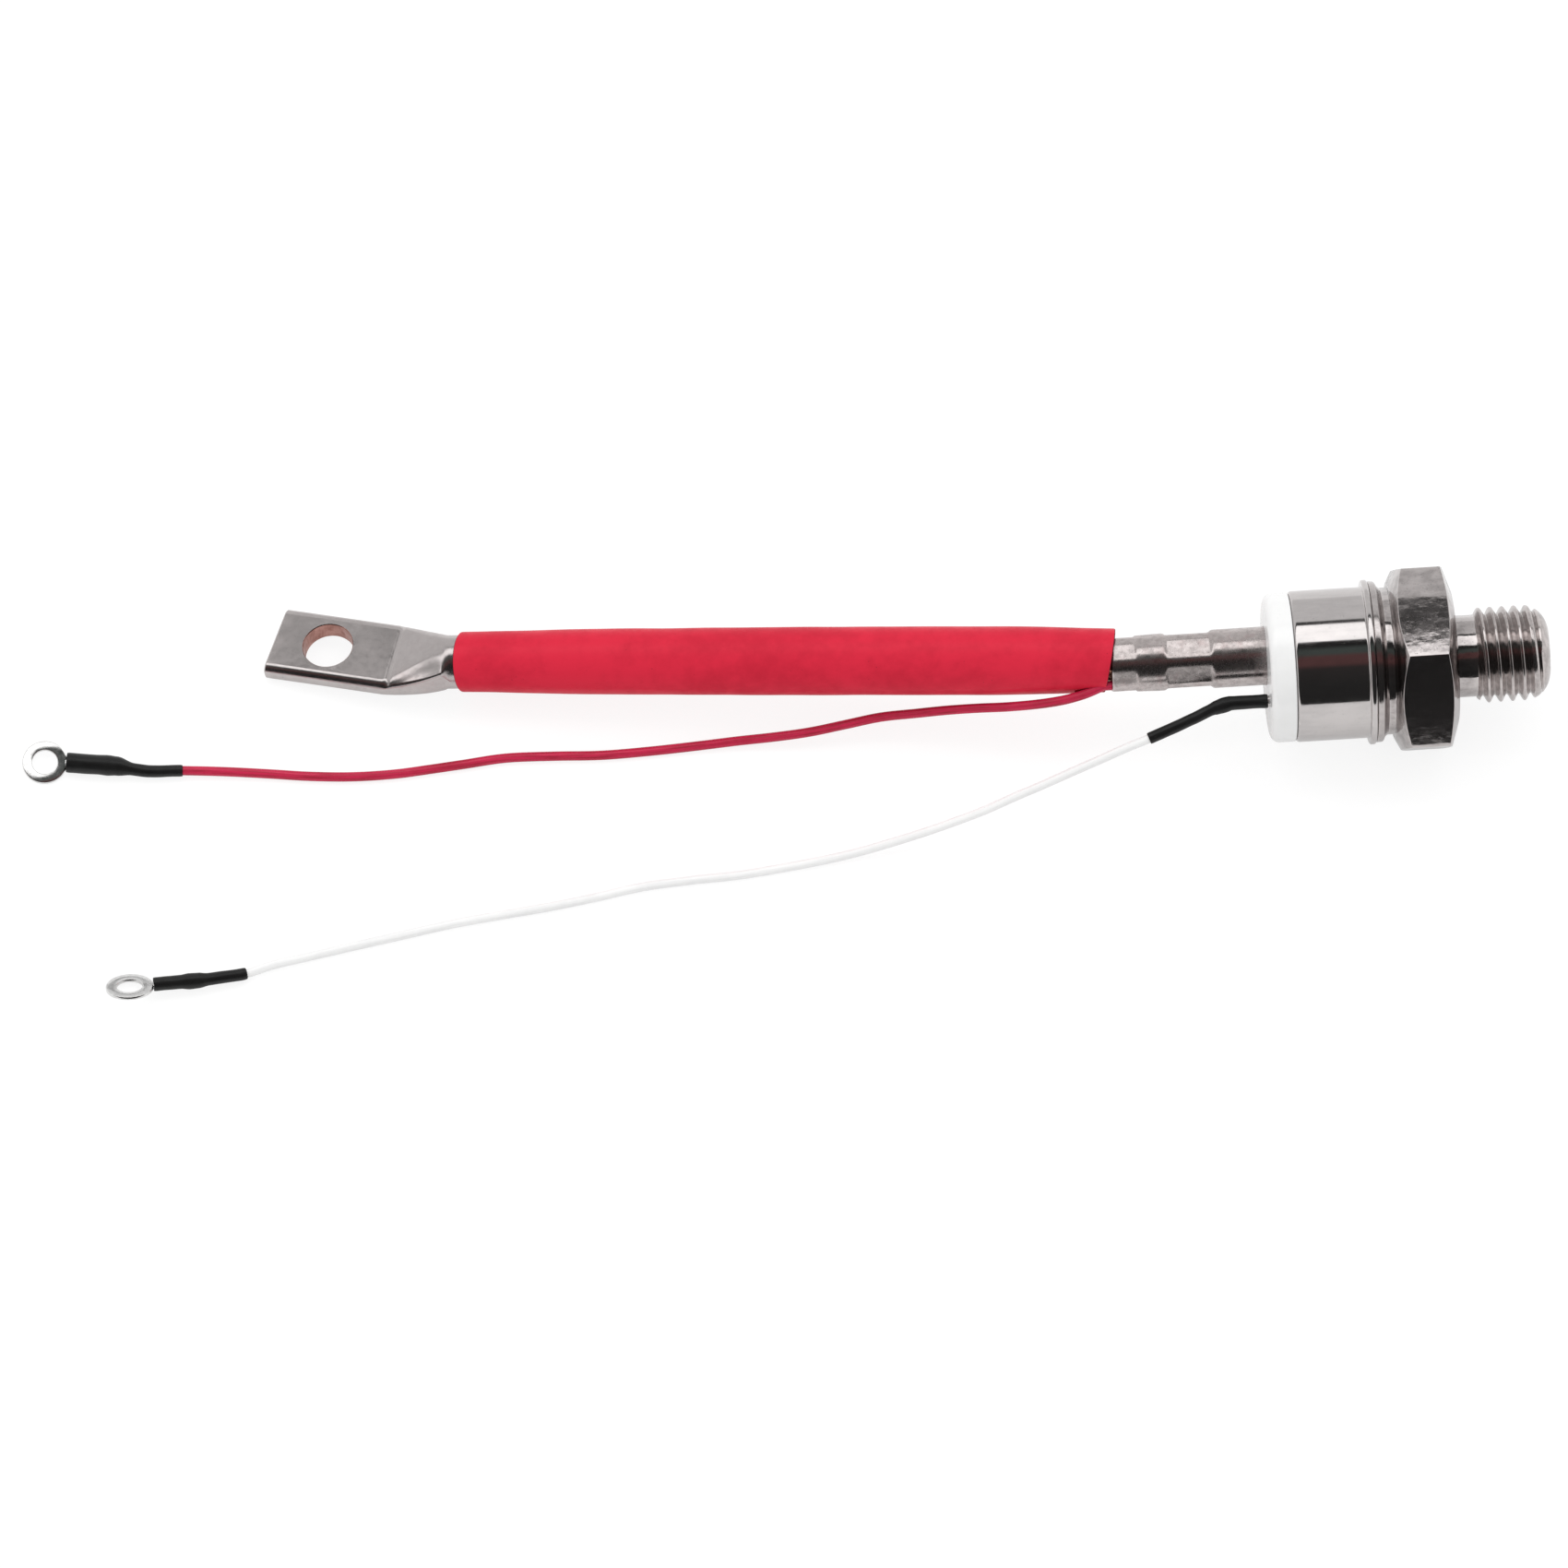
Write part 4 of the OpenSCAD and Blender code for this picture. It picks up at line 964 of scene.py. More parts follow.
@dataclass(frozen=True)
class StudBase:
    """Plated base, turned from one bar: stud, hexagon and neck. Heights run to the cap."""

    across_flats: float = 30.0
    hex_len: float = 10.7
    seat_cone: Pair = (3.8, 18.5)
    cap_cone: Pair = (1.9, 27.0)
    undercut: Pairs = ((6.85, -3.55), (6.85, -0.45), (6.93, -0.2), (7.1, -0.04), (7.3, 0))
    neck: Pairs = (
        (12.55, 10.7), (12.38, 10.77), (12.3, 10.92), (12.3, 11.9), (11.35, 11.9), (11.35, 12.4),
        (10.7, 12.4), (10.7, 12.0), (9.6, 12.0), (9.6, 12.4), (8.65, 12.4), (8.65, 13.2),
    )
    edge_round: float = 0.13
    stud_r: float = 8.0
    pitch: float = 2.0
    flank: Pairs = (
        (7.99, 0), (7.98, 0.1), (7.93, 0.19), (7.84, 0.28), (7.5, 0.49), (7.0, 0.77),
        (6.87, 0.86), (6.8, 0.93), (6.775, 1.0),
    )
    first_crest: float = -18.776
    turns: int = 9
    steps_a_turn: int = 72
    thread_top: float = -3.5
    run_out: float = 0.8
    run_out_r: float = 7.15
    run_out_slope: float = 1.06
    tip: float = -15.88
    tip_centre: Pair = (3.6, -11.5)
    tip_round: float = 4.4
    sides: int = 180

    def flat_ring(self, cone: Pair, base: float, sign: float) -> Ring:
        """Ring where a turned cone meets the six flats."""
        inset, slope = cone[0], math.tan(math.radians(cone[1]))
        ring = []
        for angle in turns(self.sides):
            r = self.across_flats / 2 / math.cos(from_flat(angle))
            rise = (r - (self.across_flats / 2 - inset)) * slope
            ring.append(polar(r, angle, base + sign * rise))
        return ring

    def hexagon(self) -> Mesh:
        """Hexagon with turned ends, the undercut below it and the spigot above it."""
        seat_r = self.across_flats / 2 - self.seat_cone[0]
        end_r = self.across_flats / 2 - self.cap_cone[0]
        below = [*self.undercut, (seat_r, 0)]
        above = [(end_r, self.hex_len), *self.neck]
        skin = Skin(
            [round_ring(r, h, self.sides) for r, h in below]
            + [self.flat_ring(self.seat_cone, 0, 1)]
            + [self.flat_ring(self.cap_cone, self.hex_len, -1)]
            + [round_ring(r, h, self.sides) for r, h in above]
        )
        bm = skin.build()
        seat, low, high, end = (len(below) + i for i in (-1, 0, 1, 2))
        edges = [e for row in (seat, low, high, end) for e in skin.row_edges(row)]
        sixth = self.sides // 6
        for k in range(sixth // 2, self.sides, sixth):
            corner = {skin.rows[low][k], skin.rows[high][k]}
            edges += [e for e in skin.rows[low][k].link_edges if corner == set(e.verts)]
        bmesh.ops.bevel(
            bm, geom=edges, offset=self.edge_round, offset_type="OFFSET", segments=2,
            profile=0.5, affect="EDGES", material=-1, clamp_overlap=True,
        )
        return outward(bm)

    def limit(self, z: float) -> float:
        """Largest radius of the thread at a height."""
        limit = self.stud_r
        centre_r, centre_z = self.tip_centre
        if z < centre_z:
            limit = centre_r + math.sqrt(max(self.tip_round**2 - (centre_z - z) ** 2, 0))
        if z > self.thread_top - self.run_out:
            limit = min(limit, self.run_out_r + self.run_out_slope * (self.thread_top - z))
        return limit

    def thread(self) -> Mesh:
        """Rolled thread, made of one turned profile of a single pitch."""
        profile = [*self.flank, *((r, self.pitch - z) for r, z in self.flank[-2::-1])]
        bm = bmesh.new()
        verts = [bm.verts.new((r, 0, self.first_crest + z)) for r, z in profile]
        edges = [bm.edges.new(pair) for pair in zip(verts, verts[1:])]
        bmesh.ops.spin(
            bm, geom=verts + edges, cent=(0, 0, 0), axis=(0, 0, 1),
            dvec=(0, 0, self.pitch / self.steps_a_turn), angle=2 * math.pi * self.turns,
            steps=self.turns * self.steps_a_turn, use_duplicate=False,
        )
        bmesh.ops.remove_doubles(bm, verts=list(bm.verts), dist=1e-3)
        for vert in bm.verts:
            r = math.hypot(vert.co.x, vert.co.y)
            share = min(self.limit(vert.co.z) / r, 1)
            vert.co.x, vert.co.y = vert.co.x * share, vert.co.y * share
        for z, sign in ((self.tip, -1), (self.thread_top, 1)):
            bmesh.ops.bisect_plane(
                bm, geom=list(bm.verts) + list(bm.edges) + list(bm.faces), dist=1e-5,
                plane_co=(0, 0, z), plane_no=(0, 0, sign), clear_outer=True,
            )
        bmesh.ops.holes_fill(bm, edges=[e for e in bm.edges if e.is_boundary], sides=0)
        return outward(bm)

    def build(self) -> None:
        """Makes both pieces."""
        frame_of_stud = BENCH.along_stud()
        flats, thread = NICKEL_FLATS.make(), NICKEL_THREAD.make()
        add_piece(
            self.hexagon(), "hex_base", frame_of_stud, [flats], "stud_base", even=True
        )
        add_piece(self.thread(), "stud_thread", frame_of_stud, [thread], "stud_base")


@dataclass(frozen=True)
class Housing:
    """Weld bead, drawn can and ceramic top."""

    base: float = 13.9
    can_top: float = 27.3
    cap_top: float = 31.5
    can_r: float = 12.65
    can_inner_r: float = 11.85
    flange_r: float = 13.8
    lip_r: float = 10.95
    ceramic_r: float = 12.5
    spigot: Pair = (10.9, 26.1)
    tube_hole: Pair = (2.5, 4.95)
    pin_hole: Pair = (-6.4, 0.95)
    bead: tuple[Point, ...] = (
        (11.4, 11.9, 0), (12.3, 11.9, 0), (12.6, 12.35, 0.6), (13.45, 12.75, 0.45),
        (13.5, 13.8, 0.16), (13.3, 13.9, 0), (11.4, 13.9, 0),
    )
    flange_len: float = 1.1
    lip_len: float = 0.8
    can_rounds: tuple[float, ...] = (0.42, 0.4, 0.3, 0.7)
    ceramic_rounds: Point = (0.15, 0.22, 1.5)
    hole_edge: Pair = (0.16, 0.2)
    hole_flare: Pair = (0.5, 0.6)
    hole_below: float = 1

    def can(self) -> Mesh:
        """Can with its flange and its rolled shoulder."""
        flange_top, lip_end = self.base + self.flange_len, self.can_top - self.lip_len
        low, high, inner, shoulder = self.can_rounds
        return lathe(rounded([
            (self.can_inner_r, self.base, 0), (self.flange_r, self.base, low),
            (self.flange_r, flange_top, high), (self.can_r, flange_top, inner),
            (self.can_r, self.can_top, shoulder), (self.lip_r, self.can_top, 0),
            (self.lip_r, lip_end, 0), (self.can_inner_r, lip_end, 0),
        ], closed=True), steps=192)

    def ceramic(self) -> Mesh:
        """Cap with a hole for the tube and one for the gate pin."""
        (spigot_r, low), top = self.spigot, self.cap_top
        spigot_round, low_round, top_round = self.ceramic_rounds
        body = lathe(rounded([
            (0, low, 0), (spigot_r, low, spigot_round), (spigot_r, self.can_top, 0),
            (self.ceramic_r, self.can_top, low_round), (self.ceramic_r, top, top_round),
            (0, top, 0),
        ]), closed=False, steps=160)
        (depth, edge_round), (wider, above) = self.hole_edge, self.hole_flare
        for y, r in (self.tube_hole, self.pin_hole):
            side = [(r, low - self.hole_below, 0), (r, top - depth, edge_round)]
            tool = drill([*side, (r + wider, top + above, 0)])
            body = carve(body, moved(tool, Matrix.Translation((0, y, 0))))
        return body

    def build(self) -> None:
        """Makes the three pieces."""
        place = BENCH.along_stud()
        can, glaze, bead = CAN_PLATE.make(), GLAZE.make(), NICKEL.make()
        weld = lathe(rounded(self.bead, closed=True))
        add_piece(weld, "weld_bead", place, [bead], "weld_ring")
        add_piece(self.can(), "steel_can", place, [can], "can_shell", sharp=50)
        add_piece(self.ceramic(), "ceramic_top", place, [glaze], "ceramic_cap")


@dataclass(frozen=True)
class CathodeTube:
    """Tinned tube with two hexagonal crimps and a web between its bores."""

    offset: float = 2.5
    bore_r: float = 3.15
    web: Pair = (32.5, 35.5)
    mouth: float = 57.5
    crimps: Pairs = ((40.2, 48.7), (52.8, 61.5))
    flat: float = 4.45
    draw: Pairs = ((40.2, 4.9), (41.2, 4.8), (48.7, 4.8), (52.8, 4.7))
    crimp_turn: float = 2.5
    crimp_end: float = 0.6
    crimp_rise: float = 0.906
    crimp_edge: float = 0.09
    top_trims: Pairs = ((0, 0.32), (0.12, 0.1))
    fine_top: float = 0.35
    fine_step: float = 0.25
    fine_count: int = 72
    coarse: tuple[float, ...] = (38.6, 36, 33, 30, 26.5)
    mouth_flare: Pair = (0.25, 0.3)
    sides: int = 96

    def outer(self, h: float, angle: float) -> float:
        """Outer radius at a height and an angle."""
        r = stepped(h, self.draw)
        for low, high in self.crimps:
            outside = max(low + self.crimp_end - h, h - (high - self.crimp_end), 0)
            turned = from_flat(angle + math.radians(self.crimp_turn))
            plane = (self.flat + self.crimp_rise * outside) / math.cos(turned)
            r = soft_min(r, plane, self.crimp_edge)
        return r

    def ring(self, h: float, trim: float = 0.0) -> Ring:
        """Ring of the outside at a height, made smaller by trim."""
        return [polar(self.outer(h, a) - trim, a, h) for a in turns(self.sides)]

    def build(self) -> None:
        """Makes the tube."""
        heights = [self.mouth - self.fine_top - self.fine_step * i for i in range(self.fine_count)]
        wider, deeper = self.mouth_flare
        inside = (
            (self.bore_r, self.web[1]), (self.bore_r, self.mouth - deeper),
            (self.bore_r + wider, self.mouth),
        )
        rings = [round_ring(r, h, self.sides) for r, h in inside]
        rings += [self.ring(self.mouth - below, trim) for below, trim in self.top_trims]
        rings += [self.ring(h) for h in (*heights, *self.coarse)]
        rings += [round_ring(self.bore_r, h, self.sides) for h in (self.coarse[-1], self.web[0])]
        bm = Skin(rings).build()
        place = BENCH.along_stud() @ Matrix.Translation((0, self.offset, 0))
        add_piece(bm, "crimp_tube", place, [TIN_TUBE.make()], "cathode_tube")


# Power lead -------------------------------------------------------------------------------


@dataclass(frozen=True)
class PowerLead:
    """Red sleeve over the rope, and the lug that is flattened askew into its tongue."""

    start: Point = (-57.75, 3.2, 15.45)
    yaw: float = 6.6
    pitch: float = 4.26181
    length: float = 111.0
    wall: float = 0.45
    profile: Pairs = (
        (0.0, 5.3), (8.0, 5.615), (16.0, 5.75), (48.018, 5.75), (79.728, 5.55), (90.6, 5.446),
        (100.5, 5.186), (108.6, 5.03),
    )
    even_over: tuple[float, ...] = (-4.5, -3, -1.5, 0, 1.5, 3, 4.5)
    sleeve_len: float = 108.6
    sleeve_sides: int = 72
    sleeve_steps: int = 62
    first_share: float = 0.0045
    rim: Pairs = ((0, 0.16), (0.0008, 0.05), (0.002, 0.0))
    mouth_reach: float = 0.35
    lumps: float = 0.055
    lump_size: float = 7.5
    lump_seed: float = 2.0
    lump_fade: float = 0.06
    notch: tuple[Point, ...] = (
        (-55.5, 13.4, 0), (-63.7, 13.2, 0.3), (-63.7, 14.3, 0.3), (-61.5, 15.25, 1),
        (-55.5, 15.8, 0),
    )
    notch_reach: Pair = (-8, 0)
    # Faces steeper than this are the cut ends, which take the painted-shade finish.
    painted_shade_slope: float = 0.6
    mouth_cut: Pair = (11.0, 23.0)
    tail_cut: Pair = (12.0, -31.0)
    tube_r: float = 4.5
    tube_len: float = 18.0
    tube_rings: int = 8
    tube_gaps: Pair = (1.0, 0.7)
    bore_r: float = 3.15
    fold: Point = (-176.83963, 18.68931, 2.50113)
    tongue_yaw: float = 18.0
    tongue_pitch: float = 7.0
    tongue: Point = (20.6, 13.0, 3.6)
    tongue_round: float = 1.5
    tip_slant: float = 4.0
    hole_from_tip: float = 9.7
    hole_r: float = 4.2
    hole_break: Pair = (0.1, 0.12)
    break_rounds: Pair = (0.1, 0.15)
    flare_below: Pair = (0.7, 1)
    flare_above: Pair = (0.6, 0.5)
    tip_trims: tuple[float, ...] = (0, 0.03, 0.09, 0.22)
    tongue_shares: tuple[float, ...] = (0.03, 0.1, 0.3, 0.6, 0.9)
    mouth_break: float = 0.15
    evenness: float = 0.6
    crease: float = 0.22
    crease_at: Pair = (0.93, 0.05)
    crease_top: Pair = (0.7, 0.8)
    near_widening: float = 0.65
    pressed_from: Pairs = ((-0.6, 4.46), (-1.3, 4.42))
    pressed_arcs: tuple[tuple[float, float, float, int], ...] = (
        (12.0, 6.0, 19.0, 6), (0.6, 19.0, 85.0, 8),
    )
    pressed_lag: float = 2.0
    pressed_drop: float = 2.2
    drop_powers: Pair = (0.65, 1.5)
    pressed_ramp: Pair = (-0.055, 0.07)
    corner: int = 16
    flattening_steps: int = 36

    def up(self, yaw: float, pitch: float) -> Vector:
        """Unit direction square to a heading and to its level side."""
        return sideways(yaw).cross(heading(yaw, pitch))

    def place(self) -> Matrix:
        """Matrix of the lead: local X up, Y aside and Z along it, in bench millimetres."""
        return aimed(self.start, self.yaw, self.pitch, turn_about("Y", -90))

    def tongue_place(self) -> Matrix:
        """Matrix of the tongue: local -X along it, Z up from its underside."""
        return aimed(self.fold, self.tongue_yaw, self.tongue_pitch)

    def sleeve_r(self, s: float) -> float:
        """Outer radius of the sleeve at a length, evened out over a few millimetres."""
        total = 0.0
        for offset in self.even_over:
            x = min(max(s + offset, 0), self.sleeve_len)
            (s0, r0), (s1, r1) = next(
                pair for pair in zip(self.profile, self.profile[1:]) if x <= pair[1][0]
            )
            total += lerp(r0, r1, (x - s0) / (s1 - s0))
        return total / len(self.even_over)

    def sleeve_ring(self, t: float, inset: float) -> Ring:
        """Ring of the sleeve at a share of its length, with slanted ends."""
        mouth, mouth_side = (math.radians(a) for a in self.mouth_cut)
        tail, tail_side = (math.radians(a) for a in self.tail_cut)
        (_, mouth_r), (_, tail_r) = self.profile[0], self.profile[-1]
        lumpy = self.lumps * min(t, 1 - t, self.lump_fade) / self.lump_fade
        ring = []
        for angle in turns(self.sleeve_sides):
            first = -mouth_r * math.tan(mouth) * math.cos(angle - mouth_side) - self.mouth_reach
            last = self.sleeve_len + tail_r * math.tan(tail) * math.cos(angle - tail_side)
            s = lerp(first, last, t)
            r = self.sleeve_r(s)
            r += lumpy * lump(polar(r, angle, s), self.lump_size, self.lump_seed) - inset
            ring.append(polar(r, angle, s))
        return ring

    def sleeve(self) -> Mesh:
        """Hollow sleeve with cut ends and a notch for the signal wire that leaves it."""
        first, steps = self.first_share, self.sleeve_steps
        shares = [first + (1 - 2 * first) * i / steps for i in range(steps + 1)]
        outer = [*self.rim, *((t, 0.0) for t in shares)]
        outer += [(1 - t, inset) for t, inset in reversed(self.rim)]
        inner = [(t, self.wall) for t in [1, *reversed(shares[::3]), 0]]
        bm = Skin([self.sleeve_ring(t, i) for t, i in outer + inner], joined=True).build()
        # The cut end faces take the second material, a near-black red of painted shade.
        for face in bm.faces:
            face.material_index = int(abs(face.normal.z) > self.painted_shade_slope)
        outline = rounded(self.notch, closed=True)
        rings = [[Vector((x, y, z)) for x, z in outline] for y in self.notch_reach]
        return carve(moved(bm, self.place()), Skin(rings).build())

    def circle(self, r: float) -> list[Pair]:
        """Circle whose points are spread like those of the tongue's outline."""
        angles = [
            math.radians(90 * (q + (i + 0.5) / self.corner))
            for q in range(4) for i in range(self.corner)
        ]
        return [(r * math.cos(a), r * math.sin(a)) for a in angles]

    def pressed(self) -> list[Pair]:
        """Near upper quarter of the tube where the press left it square."""
        points = list(self.pressed_from)
        for r, low, high, steps in self.pressed_arcs:
            first = math.radians(low)
            x, y = points[-1]
            middle_x, middle_y = x + r * math.sin(first), y - r * math.cos(first)
            for i in range(1, steps + 1):
                a = math.radians(lerp(low, high, i / steps))
                points.append((middle_x - r * math.sin(a), middle_y + r * math.cos(a)))
        return points

    def tube_section(self, t: float) -> list[Vector]:
        """Section of the tube, which turns into the pressed one as the flattening starts."""
        start, end = self.pressed_ramp
        share = ease((t - start) / (end - start))
        section = [Vector(p) for p in self.circle(self.tube_r)]
        for k, p in enumerate(self.pressed(), self.corner):
            section[k] = section[k].lerp(Vector(p), share)
        return section

    def outline(self, trim: float = 0.0) -> list[Pair]:
        """Section of the tongue, aside and up, made smaller by trim."""
        _, width, thick = self.tongue
        r = self.tongue_round
        points = []
        for q in range(4):
            sx, sy = (1 if q in (0, 3) else -1), (1 if q < 2 else -1)
            for i in range(self.corner):
                a = math.radians(90 * q + 90 * i / (self.corner - 1))
                points.append((
                    sx * (width / 2 - r) + (r - trim) * math.cos(a),
                    sy * (thick / 2 - r) + (r - trim) * math.sin(a),
                ))
        return points

    def tube_ring(self, s: float, r: float) -> Ring:
        """Ring of the lug tube at a length of the lead."""
        direction, side = heading(self.yaw, self.pitch), sideways(self.yaw)
        up = self.up(self.yaw, self.pitch)
        centre = Vector(self.start) + s * direction
        return [centre + x * side + y * up for x, y in self.circle(r)]

    def flattening_ring(self, t: float) -> Ring:
        """Ring of the skin between the round tube and the flat tongue.

        Args:
            t: Share of the way from the tube to the tongue.

        Returns:
            The ring. Its near side widens sooner than the far one, its top drops under the
            press, and it has a crease near the fold.
        """
        e = lerp(ease(t), t, self.evenness)
        side, up = sideways(self.yaw), self.up(self.yaw, self.pitch)
        flat_side = sideways(self.tongue_yaw)
        flat_up = self.up(self.tongue_yaw, self.tongue_pitch)
        first = Vector(self.start) + self.length * heading(self.yaw, self.pitch)
        last = Vector(self.fold) + self.tongue[2] / 2 * flat_up
        centre = first.lerp(last, t)
        centre.z = lerp(first.z, last.z, e)
        soon, late = self.drop_powers
        drop = self.pressed_drop * e**soon * (1 - e) ** late
        place, width = self.crease_at
        crease = self.crease * bell(t, place, width) * ease((1 - t) / width)
        half = self.corner // 2
        ring = []
        for k, ((x, y), (u, v)) in enumerate(zip(self.tube_section(t), self.outline())):
            i = k - self.corner
            wide = e**self.near_widening if x < 0 else e
            if 0 <= i < half:
                wide = e ** lerp(self.pressed_lag, self.near_widening, i / half)
            p = (x * side + y * up).lerp(u * flat_side + v * flat_up, e)
            p += (wide - e) * (u - x) * flat_side
            if 0 <= i < self.corner:
                p -= drop * ease(i / (half - 1)) * flat_up
            elif self.corner <= i < 2 * self.corner:
                p -= drop * ease((2 * self.corner - 1 - i) / (self.corner - 1)) * flat_up
            low, rise = self.crease_top
            ring.append(centre + p - crease * ease((v - low) / rise) * flat_up)
        return ring

    def tongue_ring(self, share: float, trim: float = 0.0) -> Ring:
        """Ring of the tongue at a share of its length to the slanted tip."""
        direction = heading(self.tongue_yaw, self.tongue_pitch)
        side, up = sideways(self.tongue_yaw), self.up(self.tongue_yaw, self.tongue_pitch)
        slope = math.tan(math.radians(self.tip_slant))
        ring = []
        for x, y in self.outline(trim):
            reach = self.tongue[0] - (x + self.tongue[1] / 2) * slope
            along = reach * share if share < 1 else reach - (self.tip_trims[-1] - trim)
            ring.append(
                Vector(self.fold) + along * direction + x * side + (y + self.tongue[2] / 2) * up
            )
        return ring

    def lug(self) -> Mesh:
        """Lug with its bore, its flattened part and the hole through its tongue."""
        mouth = self.length - self.tube_len
        steps = self.flattening_steps
        bore_gap, last_gap = self.tube_gaps
        tube = [
            (self.length - bore_gap, self.bore_r), (mouth, self.bore_r),
            (mouth, self.tube_r - self.mouth_break), (mouth + self.mouth_break, self.tube_r),
            *((mouth + self.tube_len * i / self.tube_rings, self.tube_r)
              for i in range(1, self.tube_rings)),
            (self.length - last_gap, self.tube_r),
        ]
        rings = [self.tube_ring(s, r) for s, r in tube]
        rings += [self.flattening_ring(i / steps) for i in range(steps + 1)]
        rings += [self.tongue_ring(share) for share in self.tongue_shares]
        rings += [self.tongue_ring(1, trim) for trim in self.tip_trims]
        bm = Skin(rings).build()
        (low, high), (low_r, high_r) = self.hole_break, self.break_rounds
        (low_wider, below), (high_wider, above) = self.flare_below, self.flare_above
        r, thick = self.hole_r, self.tongue[2]
        tool = drill([
            (r + low_wider, -below, 0), (r, low, low_r), (r, thick - high, high_r),
            (r + high_wider, thick + above, 0),
        ])
        for face in tool.faces:
            face.material_index = 1
        middle = Matrix.Translation((self.hole_from_tip - self.tongue[0], 0, 0))
        return carve(bm, moved(tool, self.tongue_place() @ middle))

    def build(self) -> None:
        """Makes the sleeve and the lug."""
        home = BENCH.home()
        tin, copper = TIN_LUG.make(), BARE_COPPER.make()
        # The second finish is painted shade for the sleeve's cut ends.
        red = [SLEEVE.make(), SLEEVE_CUT_PAINTED_SHADE.make()]
        add_piece(self.sleeve(), "red_sleeve", home, red, "lead_sleeve")
        add_piece(
            self.lug(), "lug", home, [tin, copper], "cable_lug", sharp=30, even=True
        )


# Signal wires -----------------------------------------------------------------------------


@dataclass(frozen=True)
class RingTerminal:
    """Stamped ring with a neck and a barrel."""

    route: WireRoute
    roll: float
    barrel_d: float
    barrel_len: float
    ring_d: float
    drop: float
    reach: float = 10.8
    thick: float = 0.6
    hole_d: float = 4.3
    neck_from: float = 0.8
    neck_len: float = 1.8
    neck_overlap: float = 0.7
    neck_inset: float = 0.05
    rounds: tuple[float, ...] = (0.09, 0.12, 0.18, 0.16)
    squareness: float = 0.4
    sides: int = 24

    def place(self) -> Matrix:
        """Matrix of the terminal: local -X away from the wire, in bench millimetres."""
        route = self.route
        return aimed(route.mouth, route.yaw, route.pitch, turn_about("X", self.roll))

    def section(self, x: float) -> Ring:
        """Section of the barrel and the neck, which flattens towards the ring."""
        r = self.barrel_d / 2
        e = ease((x - self.barrel_len + self.neck_from) / self.neck_len)
        low = self.drop + self.thick / 2
        neck_w = 2 * math.sqrt((r - self.neck_inset) ** 2 - low**2)
        ring = []
        for a in turns(self.sides):
            c, s = math.cos(a), math.sin(a)
            y, z = (math.copysign(abs(v) ** self.squareness, v) for v in (c, s))
            flat = Vector((0, y * neck_w / 2, z * self.thick / 2 - self.drop))
            ring.append(Vector((-x, 0, 0)) + Vector((0, r * c, r * s)).lerp(flat, e))
        return ring

    def build(self) -> Mesh:
        """Makes the mesh in bench millimetres."""
        inner, outer, t = self.hole_d / 2, self.ring_d / 2, self.thick / 2
        corners = ((inner, -t), (outer, -t), (outer, t), (inner, t))
        profile = [(*corner, r) for corner, r in zip(corners, self.rounds)]
        ring = lathe(rounded(profile, closed=True, step=30), steps=72)
        moved(ring, Matrix.Translation((-self.reach, 0, -self.drop)))
        end, start = self.reach - outer, self.barrel_len - self.neck_from
        stops = [0, self.barrel_len / 2, *(start + self.neck_len * i / 6 for i in range(7))]
        neck = Skin([self.section(x) for x in [*stops, end + self.neck_overlap]]).build()
        return moved(joined([ring, neck]), self.place())


@dataclass(frozen=True)
class ShrinkTube:
    """Shrunk tube with small folds and cut ends, whose radii are (length, radius) stops."""

    path: Sequence[Vector]
    outer: Sequence[Pair]
    inner: Sequence[Pair]
    step: float = 0.35
    fold: float = 0.045
    fold_size: float = 2.4
    fold_seed: float = 5.0
    fold_turn: float = 2.2
    fold_pitch: float = 1.3
    fade: float = 0.8
    cut: float = 0.06
    cut_length: float = 0.35
    sides: int = 24

    def build(self) -> Mesh:
        """Makes the closed mesh."""
        path = resampled(self.path, self.step)
        total = route_length(path)

        def outside(s: float, angle: float) -> float:
            """Outer radius with folds that fade at the ends."""
            end = min(s, total - s)
            place = polar(self.fold_turn, angle, s * self.fold_pitch)
            folds = lump(place, self.fold_size, self.fold_seed)
            folds *= self.fold * (min(end, self.fade) / self.fade)
            return stepped(s, self.outer) + folds - self.cut * (1 - ease(end / self.cut_length))

        rings = tube_rings(path, outside, self.sides)
        rings += tube_rings(path, lambda s, a: stepped(s, self.inner), self.sides)[::-1]
        return Skin(rings, joined=True).build()


